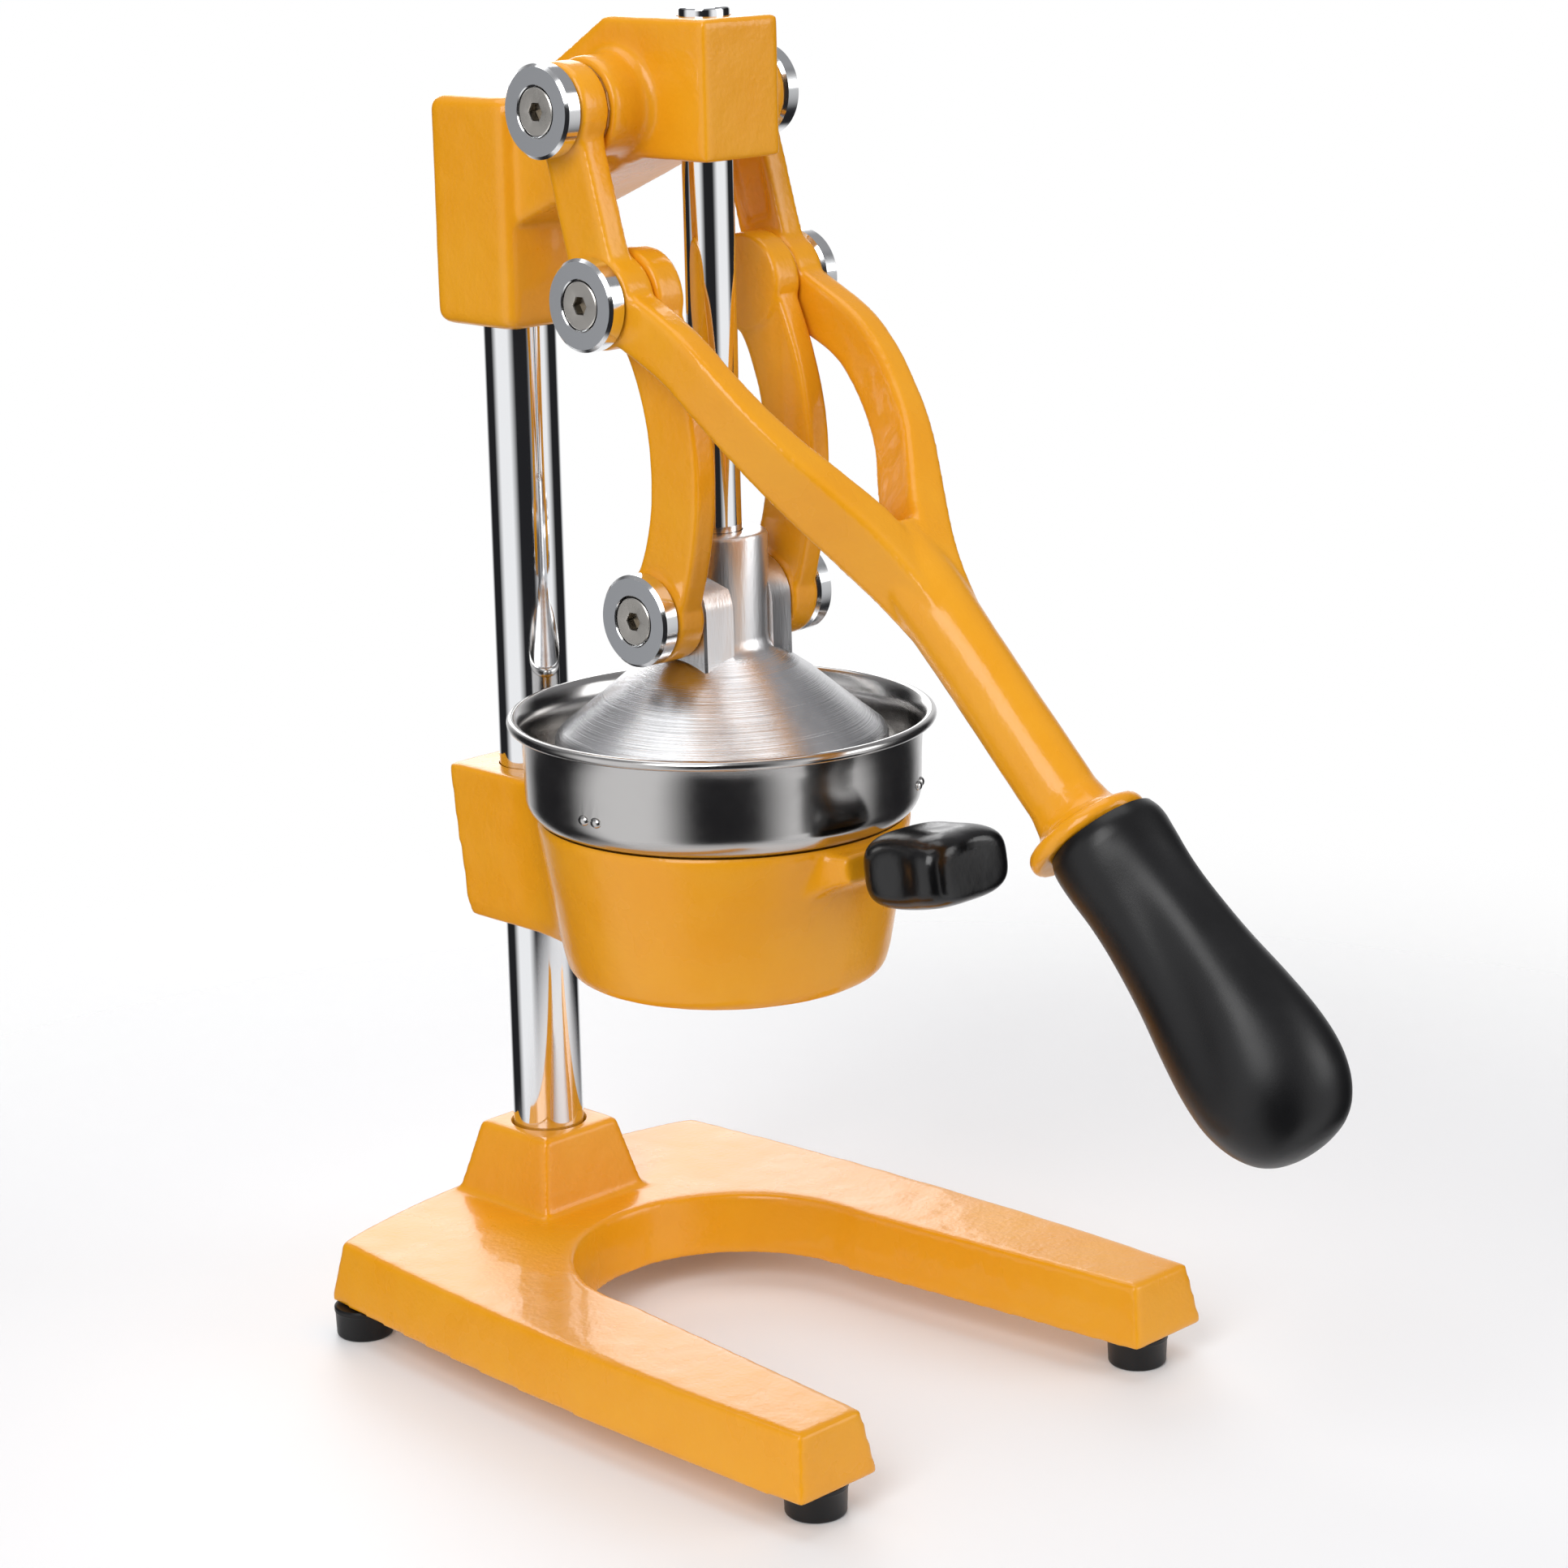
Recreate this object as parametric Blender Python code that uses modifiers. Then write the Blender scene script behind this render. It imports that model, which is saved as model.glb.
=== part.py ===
"""A hand citrus press: a cast frame, a sliding ram and a forked lever that works it through two links.

Metres, +Z up. The user stands at -Y, so left is -X. The origin is on the floor under the middle of
the whole press, and the ram's axis is RAM_Y behind it. Rest is the pressed position.
"""

import math

import bmesh
import bpy
from mathutils import Vector

MM = 0.001
GAP = 0.3 * MM
RAM_Y = 55.9 * MM

# Base casting: a U with draft, open to the front, and a boss that holds the post.
FOOT_HEIGHT = 10.0 * MM
BASE_TOP = 29.0 * MM
BASE_DRAFT = 3.4 * MM
BASE_FRONT_Y = -108.9 * MM
BASE_REAR_Y = 108.5 * MM
BASE_REAR_ARC = 245.0 * MM
BASE_SIDE_X = 84.0 * MM
BASE_SIDE_WIDEST_Y = -60.0 * MM
BASE_SIDE_ARC = 1370.0 * MM
BASE_INNER_RADIUS = 49.0 * MM
BASE_INNER_SPLAY = math.radians(5.4)
BASE_ROUND = 2.6 * MM
BOSS_HALF_BOTTOM = 20.5 * MM
BOSS_HALF_TOP = 15.4 * MM
BOSS_TOP = 52.0 * MM
FOOT_RADIUS_FLOOR = 8.7 * MM
FOOT_RADIUS_TOP = 9.2 * MM
FOOT_FRONT = (69.1 * MM, -100.4 * MM)
FOOT_REAR = (71.8 * MM, 90.5 * MM)

# Post and ram rod.
POST_Y = 83.2 * MM
POST_RADIUS = 11.1 * MM
POST_BOTTOM = 15.0 * MM
POST_TOP = 364.0 * MM
POST_BOLT_RADIUS = 4.0 * MM
ROD_RADIUS = 7.4 * MM
ROD_BOTTOM = 227.0 * MM
ROD_TOP = 402.0 * MM
BUSH_RADIUS = 9.6 * MM

# Head casting: a block on the post and an arm that reaches over the ram.
HEAD_BLOCK_HALF_X = 18.5 * MM
HEAD_BLOCK_FRONT_Y = 66.0 * MM
HEAD_BLOCK_REAR_Y = 100.8 * MM
HEAD_BLOCK_BOTTOM = 306.0 * MM
HEAD_BLOCK_TOP = 374.7 * MM
HEAD_ARM_HALF_X = 15.1 * MM
HEAD_ARM_FRONT_Y = -14.9 * MM
HEAD_ARM_TOP = 399.4 * MM
HEAD_ARM_BOTTOM = 359.7 * MM
HEAD_ROUND = 2.2 * MM

# Pivots, seen from the side as (y, z) from the ram's axis and the floor.
UPPER_PIVOT = (21.0 * MM, 374.8 * MM)
MIDDLE_PIVOT = (6.0 * MM, 321.6 * MM)
LOWER_PIVOT = (0.0, 230.3 * MM)
HEAD_BOSS_FACE = 28.9 * MM
HEAD_BOSS_RADIUS = 14.5 * MM
SHIM_THICKNESS = 0.6 * MM
EYE_RADIUS = 13.6 * MM
UPPER_EYE = (30.1 * MM, 40.0 * MM)
MIDDLE_EYE = (28.5 * MM, 39.4 * MM)
LINK_FACES = (18.2 * MM, 28.2 * MM)
SLEEVE_RADIUS = 7.0 * MM
SLEEVE_BORE = 4.3 * MM
SHANK_RADIUS = 4.0 * MM
WASHER_RADIUS = 13.4 * MM
WASHER_THICKNESS = 5.9 * MM
SCREW_HEAD_RADIUS = 7.0 * MM
SCREW_HEAD_DEPTH = 3.0 * MM
HEX_RADIUS = 3.0 * MM
HEX_DEPTH = 2.6 * MM

# Lever, drawn flat with its shaft along -Y from the upper pivot, and tilted down at rest.
LEVER_TILT = math.radians(45.57)
SHAFT_DROP = 17.7 * MM
SHAFT_RADIUS = 10.4 * MM
CROTCH = 146.0 * MM
COLLAR_AT = 246.0 * MM
COLLAR_THICKNESS = 4.5 * MM
COLLAR_RADIUS = 17.0 * MM
GRIP_START = COLLAR_AT + COLLAR_THICKNESS + GAP
GRIP_LENGTH = 103.0 * MM
GRIP_OFFSET = 4.6 * MM
TANG_RADIUS = 6.0 * MM
TANG_LENGTH = 70.0 * MM

# Links between the lever's middle eyes and the ram's ears.
LINK_BOW = 13.5 * MM
LINK_HALF_WIDTH = 9.6 * MM
LINK_UPPER_RADIUS = 14.5 * MM
LINK_LOWER_RADIUS = 13.4 * MM

# Presser on the ram: a stem with two ears over a hollow cone.
STEM_RADIUS = 14.7 * MM
STEM_TOP = 252.0 * MM
EAR_FACE = 17.9 * MM
EAR_HALF_WIDTH = 12.5 * MM
PRESSER_RADIUS = 49.1 * MM
PRESSER_RIM_TOP = 191.0 * MM
PRESSER_RIM_BOTTOM = 187.0 * MM
PRESSER_WALL = 3.2 * MM

# Cup holder, cup and reamer.
HOLDER_TOP = 168.5 * MM
HOLDER_BOTTOM = 119.8 * MM
HOLDER_RADIUS_TOP = 55.5 * MM
HOLDER_RADIUS_BOTTOM = 47.6 * MM
HOLDER_WALL = 5.0 * MM
HOLDER_FLOOR = 6.0 * MM
DRAIN_RADIUS = 9.0 * MM
CUP_RIM_TOP = 198.3 * MM
CUP_RIM_RADIUS = 63.2 * MM
CUP_RADIUS = 58.4 * MM
CUP_FLOOR = 167.0 * MM
CUP_CORNER = 8.0 * MM
CUP_WALL = 1.2 * MM
CUP_HOLES = 16
CUP_HOLE_RADIUS = 1.8 * MM
CUP_HOLE_CIRCLE = 39.0 * MM
REAMER_RADIUS = 30.0 * MM
REAMER_HEIGHT = 40.0 * MM
REAMER_FLUTES = 10
TAB_TILT = math.radians(9.0)
TAB_ROOT = (-50.0 * MM, 160.8 * MM)
TAB_HALF_X = 12.5 * MM
TAB_HALF_Z = 4.4 * MM
TAB_LENGTH = 44.0 * MM
CAP_HALF_X = 17.6 * MM
CAP_HALF_Z = 10.6 * MM
CAP_START = 20.5 * MM
CAP_LENGTH = 28.0 * MM

SIDES = (("left", -1), ("right", 1))

FINISHES = {
    "yellow_enamel": ((0.84, 0.38, 0.03), 0.22, 0.0),
    "chrome": ((0.80, 0.80, 0.82), 0.08, 1.0),
    "nickel": ((0.70, 0.68, 0.64), 0.25, 1.0),
    "cast_aluminium": ((0.74, 0.74, 0.75), 0.35, 1.0),
    "stainless": ((0.66, 0.66, 0.67), 0.28, 1.0),
    "bronze": ((0.55, 0.38, 0.20), 0.40, 1.0),
    "zinc_steel": ((0.55, 0.55, 0.56), 0.40, 1.0),
    "black_rubber": ((0.018, 0.018, 0.019), 0.42, 0.0),
}


# --- Scene, bodies and finishes -------------------------------------------------------------------


def clear_scene():
    for thing in list(bpy.data.objects):
        bpy.data.objects.remove(thing, do_unlink=True)


def new_collection(name):
    collection = bpy.data.collections.new(name)
    bpy.context.scene.collection.children.link(collection)
    return collection


def new_finish(name, colour, roughness, metallic):
    finish = bpy.data.materials.new(name)
    finish.use_nodes = True
    shader = finish.node_tree.nodes["Principled BSDF"]
    shader.inputs["Base Color"].default_value = (*colour, 1.0)
    shader.inputs["Roughness"].default_value = roughness
    shader.inputs["Metallic"].default_value = metallic
    return finish


def new_body(name, location, tilt=0.0):
    """An empty on a body's joint axis, which its pieces are parented to."""
    body = bpy.data.objects.new(name, None)
    PARTS.objects.link(body)
    body.location = location
    body.rotation_euler = (tilt, 0.0, 0.0)
    body.empty_display_size = 20 * MM
    return body


# --- Shapes ---------------------------------------------------------------------------------------


def mesh_of(name, builder):
    mesh = bpy.data.meshes.new(name)
    builder.to_mesh(mesh)
    builder.free()
    mesh.shade_smooth()
    mesh.set_sharp_from_angle(angle=math.radians(35))
    return mesh


def add_part(name, mesh, finish, body):
    part = bpy.data.objects.new(name, mesh)
    PARTS.objects.link(part)
    part.parent = body
    if not mesh.materials:
        mesh.materials.append(MATERIALS[finish])
    return part


def add_helper(name, mesh, body):
    """A piece that only cuts or joins another one."""
    helper = bpy.data.objects.new(name, mesh)
    HELPERS.objects.link(helper)
    helper.parent = body
    helper.hide_render = True
    helper.display_type = "WIRE"
    return helper


def boolean(part, helper, operation):
    modifier = part.modifiers.new(helper.name, "BOOLEAN")
    modifier.operation = operation
    modifier.solver = "EXACT"
    modifier.object = helper


def cut(part, helper):
    boolean(part, helper, "DIFFERENCE")


def join(part, helper):
    boolean(part, helper, "UNION")


def bevel(part, width, segments=2):
    modifier = part.modifiers.new("rounded_edges", "BEVEL")
    modifier.width = width
    modifier.segments = segments
    modifier.limit_method = "ANGLE"
    modifier.angle_limit = math.radians(35)


def loft_mesh(name, rings):
    """A closed body through rings that have equally many points, capped at both ends."""
    builder = bmesh.new()
    loops = [[builder.verts.new(point) for point in ring] for ring in rings]
    builder.faces.new(loops[0])
    builder.faces.new(loops[-1])
    for lower, upper in zip(loops, loops[1:]):
        for here in range(len(lower)):
            after = (here + 1) % len(lower)
            builder.faces.new((lower[here], lower[after], upper[after], upper[here]))
    bmesh.ops.recalc_face_normals(builder, faces=builder.faces)
    return mesh_of(name, builder)


def box_mesh(name, low, high):
    builder = bmesh.new()
    bmesh.ops.create_cube(builder, size=1.0)
    low, high = Vector(low), Vector(high)
    bmesh.ops.scale(builder, vec=high - low, verts=builder.verts)
    bmesh.ops.translate(builder, vec=(low + high) / 2, verts=builder.verts)
    return mesh_of(name, builder)


def cylinder_mesh(name, radius, bottom, top, sides=24):
    builder = bmesh.new()
    bmesh.ops.create_cone(
        builder, cap_ends=True, segments=sides, radius1=radius, radius2=radius, depth=top - bottom
    )
    bmesh.ops.translate(builder, vec=(0, 0, (bottom + top) / 2), verts=builder.verts)
    return mesh_of(name, builder)


def profile_mesh(name, profile):
    """A turned piece's outline as (radius, height) points, down its outer side."""
    builder = bmesh.new()
    points = [builder.verts.new((radius, 0, height)) for radius, height in profile]
    for here, after in zip(points, points[1:]):
        builder.edges.new((here, after))
    if profile[0][0] > 0:
        builder.edges.new((points[-1], points[0]))
    mesh = bpy.data.meshes.new(name)
    builder.to_mesh(mesh)
    builder.free()
    return mesh


def turn(thing, steps=24):
    modifier = thing.modifiers.new("turned", "SCREW")
    modifier.axis = "Z"
    modifier.steps = steps
    modifier.render_steps = steps
    modifier.use_merge_vertices = True
    modifier.merge_threshold = 0.00001


def turned_part(name, profile, finish, body, steps=24):
    part = add_part(name, profile_mesh(name, profile), finish, body)
    turn(part, steps)
    return part


def turned_helper(name, profile, body, steps=24):
    helper = add_helper(name, profile_mesh(name, profile), body)
    turn(helper, steps)
    return helper


def face_sideways(thing, sign, at):
    """Turns a piece drawn along +Z to run outwards along X from a (y, z) centre."""
    thing.rotation_euler = (0, sign * math.pi / 2, 0)
    thing.location = (0, *at)


def arc(centre, radius, start, end, count):
    """Points on an arc, from one angle to another."""
    angles = [start + (end - start) * step / (count - 1) for step in range(count)]
    return [(centre[0] + radius * math.cos(a), centre[1] + radius * math.sin(a)) for a in angles]


def rounded_section(half_across, half_up, corner):
    """Eight points round a rectangle with cut corners, as (across, up)."""
    across, up = half_across - corner, half_up - corner
    return [
        (half_across, -up), (half_across, up), (across, half_up), (-across, half_up),
        (-half_across, up), (-half_across, -up), (-across, -half_up), (across, -half_up),
    ]


# --- Base, post and feet --------------------------------------------------------------------------


def base_half(grow):
    """Right half of the base's plan from the front of the leg round to the rear, grown by a draft."""
    front = BASE_FRONT_Y - grow
    inner = BASE_INNER_RADIUS - grow
    splay = math.tan(BASE_INNER_SPLAY)
    tangent = (inner * math.cos(BASE_INNER_SPLAY), -inner * math.sin(BASE_INNER_SPLAY))
    inside = arc((0, 0), inner, math.pi / 2, -BASE_INNER_SPLAY, 11)
    inside.append((tangent[0] + (tangent[1] - front) * splay, front))
    outside = []
    for step in range(8):
        y = front + (BASE_REAR_Y - 12 * MM + grow - front) * step / 7
        x = BASE_SIDE_X + grow - (y - BASE_SIDE_WIDEST_Y) ** 2 / (2 * BASE_SIDE_ARC)
        outside.append((x, y))
    rear = []
    for step in range(5):
        x = (outside[-1][0] - 5 * MM) * (1 - step / 5)
        rear.append((x, BASE_REAR_Y + grow - x * x / (2 * BASE_REAR_ARC)))
    return inside[1:] + outside + rear


def base_plan(grow, height):
    """The whole plan: the right half, the rear middle point, and the left half mirrored."""
    right = base_half(grow)
    left = [(-x, y) for x, y in reversed(right)]
    rear_middle = (0, BASE_REAR_Y + grow)
    inner_middle = (0, BASE_INNER_RADIUS - grow)
    return [(x, y, height) for x, y in right + [rear_middle] + left + [inner_middle]]


def square(half, height, centre_y):
    corners = ((-half, -half), (half, -half), (half, half), (-half, half))
    return [(x, centre_y + y, height) for x, y in corners]


def make_base():
    rings = (base_plan(BASE_DRAFT, FOOT_HEIGHT), base_plan(0, BASE_TOP))
    base = add_part("base", loft_mesh("base", rings), "yellow_enamel", FRAME)
    bevel(base, BASE_ROUND)
    boss_rings = (
        square(BOSS_HALF_BOTTOM + 1 * MM, BASE_TOP - 5 * MM, POST_Y),
        square(BOSS_HALF_TOP, BOSS_TOP, POST_Y),
    )
    boss = add_helper("base_boss", loft_mesh("base_boss", boss_rings), FRAME)
    bevel(boss, 1.8 * MM)
    join(base, boss)
    bore_steps = (
        (0, BOSS_TOP + 5 * MM),
        (POST_RADIUS + GAP, BOSS_TOP + 5 * MM),
        (POST_RADIUS + GAP, POST_BOTTOM + 7 * MM),
        (POST_BOLT_RADIUS + 0.4 * MM, POST_BOTTOM + 7 * MM),
        (POST_BOLT_RADIUS + 0.4 * MM, FOOT_HEIGHT + 8 * MM),
        (11 * MM, FOOT_HEIGHT + 8 * MM),
        (11 * MM, FOOT_HEIGHT - 5 * MM),
        (0, FOOT_HEIGHT - 5 * MM),
    )
    bore = turned_helper("base_bore", bore_steps, FRAME)
    bore.location = (0, POST_Y, 0)
    cut(base, bore)
    hole_mesh = cylinder_mesh("foot_screw_hole", 2.3 * MM, FOOT_HEIGHT - 2 * MM, 22 * MM, 12)
    for name, x, y in foot_places():
        hole = add_helper("screw_hole_" + name, hole_mesh, FRAME)
        hole.location = (x, y, 0)
        cut(base, hole)


def foot_places():
    for end, (x, y) in (("front", FOOT_FRONT), ("rear", FOOT_REAR)):
        for side, sign in SIDES:
            yield f"foot_{end}_{side}", sign * x, y


def make_feet():
    top = FOOT_HEIGHT - GAP
    foot_profile = (
        (FOOT_RADIUS_TOP - 0.5 * MM, top), (FOOT_RADIUS_TOP, top - 0.5 * MM),
        (FOOT_RADIUS_FLOOR, 0.8 * MM), (FOOT_RADIUS_FLOOR - 0.8 * MM, 0),
        (4.6 * MM, 0), (4.6 * MM, 4.6 * MM), (2.3 * MM, 4.6 * MM), (2.3 * MM, top),
    )
    foot_mesh = profile_mesh("foot", foot_profile)
    screw_profile = (
        (0, 20 * MM), (1.9 * MM, 20 * MM), (1.9 * MM, 4.3 * MM),
        (4.1 * MM, 4.3 * MM), (4.1 * MM, 1.8 * MM), (0, 1.8 * MM),
    )
    screw_mesh = profile_mesh("foot_screw", screw_profile)
    for name, x, y in foot_places():
        foot = add_part(name, foot_mesh, "black_rubber", FRAME)
        turn(foot, 16)
        foot.location = (x, y, 0)
        screw = add_part(name.replace("foot", "foot_screw"), screw_mesh, "zinc_steel", FRAME)
        turn(screw, 12)
        screw.location = (x, y, 0)


def make_post():
    profile = (
        (0, POST_TOP), (POST_RADIUS - 1 * MM, POST_TOP), (POST_RADIUS, POST_TOP - 1 * MM),
        (POST_RADIUS, POST_BOTTOM + 8.3 * MM), (POST_RADIUS - 1 * MM, POST_BOTTOM + 7.3 * MM),
        (POST_BOLT_RADIUS + GAP, POST_BOTTOM + 7.3 * MM), (POST_BOLT_RADIUS + GAP, 52 * MM),
        (0, 52 * MM),
    )
    post = turned_part("post", profile, "chrome", FRAME, 32)
    post.location = (0, POST_Y, 0)
    head = FOOT_HEIGHT + 8 * MM - GAP - 1.6 * MM - GAP
    bolt_profile = (
        (0, 50 * MM), (POST_BOLT_RADIUS, 50 * MM), (POST_BOLT_RADIUS, head),
        (6.5 * MM, head), (6.5 * MM, head - 5 * MM), (0, head - 5 * MM),
    )
    bolt = turned_part("post_bolt", bolt_profile, "zinc_steel", FRAME, 18)
    bolt.location = (0, POST_Y, 0)
    socket = cylinder_mesh("post_bolt_socket", HEX_RADIUS, head - 6 * MM, head - 2 * MM, 6)
    socket = add_helper("post_bolt_socket", socket, FRAME)
    socket.location = (0, POST_Y, 0)
    cut(bolt, socket)
    washer_top = FOOT_HEIGHT + 8 * MM - GAP
    washer_profile = (
        (9.5 * MM, washer_top), (9.5 * MM, washer_top - 1.6 * MM),
        (POST_BOLT_RADIUS + GAP, washer_top - 1.6 * MM), (POST_BOLT_RADIUS + GAP, washer_top),
    )
    washer = turned_part("post_bolt_washer", washer_profile, "zinc_steel", FRAME, 20)
    washer.location = (0, POST_Y, 0)


# --- Head -----------------------------------------------------------------------------------------


def head_arm_side():
    """The arm's side view, as (y, z) points round it."""
    return (
        (HEAD_ARM_FRONT_Y, HEAD_ARM_BOTTOM), (HEAD_ARM_FRONT_Y, HEAD_ARM_TOP),
        (26 * MM, HEAD_ARM_TOP), (67 * MM, HEAD_BLOCK_TOP - 0.6 * MM),
        (HEAD_BLOCK_FRONT_Y + 12 * MM, HEAD_BLOCK_TOP - 0.6 * MM),
        (HEAD_BLOCK_FRONT_Y + 12 * MM, 332 * MM), (HEAD_BLOCK_FRONT_Y, 337.5 * MM),
        (14 * MM, HEAD_ARM_BOTTOM),
    )


def make_head():
    side = head_arm_side()
    rings = [[(x, y, z) for y, z in side] for x in (-HEAD_ARM_HALF_X, HEAD_ARM_HALF_X)]
    head = add_part("head", loft_mesh("head", rings), "yellow_enamel", FRAME)
    bevel(head, HEAD_ROUND)
    block_low = (-HEAD_BLOCK_HALF_X, HEAD_BLOCK_FRONT_Y, HEAD_BLOCK_BOTTOM)
    block_high = (HEAD_BLOCK_HALF_X, HEAD_BLOCK_REAR_Y, HEAD_BLOCK_TOP)
    block = add_helper("head_block", box_mesh("head_block", block_low, block_high), FRAME)
    bevel(block, HEAD_ROUND)
    join(head, block)
    for name, sign in SIDES:
        boss_profile = (
            (0, HEAD_BOSS_FACE), (HEAD_BOSS_RADIUS - 1 * MM, HEAD_BOSS_FACE),
            (HEAD_BOSS_RADIUS, HEAD_BOSS_FACE - 1 * MM),
            (HEAD_BOSS_RADIUS, HEAD_ARM_HALF_X - 4 * MM), (0, HEAD_ARM_HALF_X - 4 * MM),
        )
        boss = turned_helper("head_boss_" + name, boss_profile, FRAME, 28)
        face_sideways(boss, sign, UPPER_PIVOT)
        join(head, boss)
    for name, sign in SIDES:
        hole_mesh = cylinder_mesh("screw_hole", SLEEVE_BORE, 17.5 * MM, HEAD_BOSS_FACE + 2 * MM, 16)
        hole = add_helper("head_screw_hole_" + name, hole_mesh, FRAME)
        face_sideways(hole, sign, UPPER_PIVOT)
        cut(head, hole)
    post_hole = cylinder_mesh(
        "head_post_hole", POST_RADIUS + GAP, HEAD_BLOCK_BOTTOM - 5 * MM, POST_TOP + GAP, 32
    )
    post_hole = add_helper("head_post_hole", post_hole, FRAME)
    post_hole.location = (0, POST_Y, 0)
    cut(head, post_hole)
    bush_hole = cylinder_mesh(
        "head_bush_hole", BUSH_RADIUS + GAP, HEAD_ARM_BOTTOM - 5 * MM, HEAD_ARM_TOP + 5 * MM, 28
    )
    cut(head, add_helper("head_bush_hole", bush_hole, FRAME))
    make_set_screws(head, HEAD_BLOCK_REAR_Y, (352 * MM, 325 * MM))
    bush_profile = (
        (BUSH_RADIUS, HEAD_ARM_TOP - 0.8 * MM), (BUSH_RADIUS, HEAD_ARM_BOTTOM + 0.8 * MM),
        (ROD_RADIUS + GAP, HEAD_ARM_BOTTOM + 0.8 * MM), (ROD_RADIUS + GAP, HEAD_ARM_TOP - 0.8 * MM),
    )
    turned_part("rod_bush", bush_profile, "bronze", FRAME, 28)


def make_set_screws(casting, rear_y, heights):
    """Headless socket screws that clamp a casting to the post from behind."""
    inner = POST_RADIUS + GAP
    outer = rear_y - POST_Y - 1 * MM
    hole_mesh = cylinder_mesh("set_screw_hole", 3.3 * MM, inner - 2 * MM, outer + 5 * MM, 12)
    hex_mesh = cylinder_mesh("set_screw_hex", 1.7 * MM, outer - 2.4 * MM, outer + 2 * MM, 6)
    for order, height in zip(("upper", "lower"), heights):
        name = f"{casting.name}_set_screw_{order}"
        screw = add_part(name, cylinder_mesh(name, 3.0 * MM, inner, outer, 12), "zinc_steel", FRAME)
        hole = add_helper(name + "_hole", hole_mesh, FRAME)
        socket = add_helper(name + "_hex", hex_mesh, FRAME)
        for thing in (screw, hole, socket):
            face_rearwards(thing, height)
        cut(casting, hole)
        cut(screw, socket)


def face_rearwards(thing, height):
    """Turns a piece drawn along +Z to run to the rear from the post's axis."""
    thing.rotation_euler = (-math.pi / 2, 0, 0)
    thing.location = (0, POST_Y, height)


# --- Pivot hardware -------------------------------------------------------------------------------


def make_pivot(level, body, at, eye, screw_tip):
    """A sleeve in the eye, and outside it a washer with a countersunk socket screw, on both sides."""
    inner, outer = eye
    face = outer + GAP + WASHER_THICKNESS
    sleeve = (
        (SLEEVE_RADIUS, outer), (SLEEVE_RADIUS, inner), (SLEEVE_BORE, inner), (SLEEVE_BORE, outer)
    )
    seat = face - WASHER_THICKNESS
    washer = (
        (WASHER_RADIUS - 0.6 * MM, face), (WASHER_RADIUS, face - 0.6 * MM),
        (WASHER_RADIUS, seat + 0.6 * MM), (WASHER_RADIUS - 0.6 * MM, seat), (SLEEVE_BORE, seat),
        (SLEEVE_BORE, face - SCREW_HEAD_DEPTH - GAP), (SCREW_HEAD_RADIUS + GAP, face),
    )
    top = face - 0.1 * MM
    screw = (
        (0, top), (SCREW_HEAD_RADIUS, top), (SHANK_RADIUS, top - SCREW_HEAD_DEPTH),
        (SHANK_RADIUS, screw_tip), (0, screw_tip),
    )
    hexagon = cylinder_mesh("hex_socket", HEX_RADIUS, top - HEX_DEPTH, top + 2 * MM, 6)
    for side, sign in SIDES:
        pieces = (
            turned_part(f"{level}_pivot_sleeve_{side}", sleeve, "bronze", body, 16),
            turned_part(f"{level}_pivot_washer_{side}", washer, "chrome", body, 20),
            turned_part(f"{level}_pivot_screw_{side}", screw, "nickel", body, 16),
        )
        socket = add_helper(f"{level}_hex_{side}", hexagon, body)
        for piece in (*pieces, socket):
            face_sideways(piece, sign, at)
        cut(pieces[2], socket)


def make_upper_shims():
    """Thin rings between the head's bosses and the lever's eyes."""
    inner = HEAD_BOSS_FACE + GAP
    outer = inner + SHIM_THICKNESS
    profile = (
        (EYE_RADIUS - 1 * MM, outer), (EYE_RADIUS - 1 * MM, inner),
        (SLEEVE_RADIUS + GAP, inner), (SLEEVE_RADIUS + GAP, outer),
    )
    for side, sign in SIDES:
        shim = turned_part("upper_pivot_shim_" + side, profile, "bronze", FRAME, 16)
        face_sideways(shim, sign, UPPER_PIVOT)


# --- Lever and grip -------------------------------------------------------------------------------


def lever_point(pivot):
    """A (y, z) place at rest, as (y, z) in the flat lever's own frame."""
    y = pivot[0] - UPPER_PIVOT[0]
    z = pivot[1] - UPPER_PIVOT[1]
    cosine, sine = math.cos(LEVER_TILT), math.sin(LEVER_TILT)
    return (y * cosine + z * sine, z * cosine - y * sine)


def eye_profile(eye, radius, round_over=0.8 * MM):
    inner, outer = eye
    return (
        (0, outer), (radius - round_over, outer), (radius, outer - round_over),
        (radius, inner + round_over), (radius - round_over, inner), (0, inner),
    )


def neck_mesh(middle, sign):
    """The bar between the upper and middle eyes."""
    direction = Vector((0, *middle)).normalized()
    across = direction.cross(Vector((1, 0, 0)))
    centre_x = sign * 34.6 * MM
    rings = []
    for along, half in ((2 * MM, 10 * MM), (14 * MM, 8.8 * MM), (40 * MM, 9 * MM), (54 * MM, 10 * MM)):
        section = rounded_section(4.4 * MM, half, 1.2 * MM)
        rings.append(
            [direction * along + across * up + Vector((centre_x + side, 0, 0)) for side, up in section]
        )
    return loft_mesh("lever_neck", rings)


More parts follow.
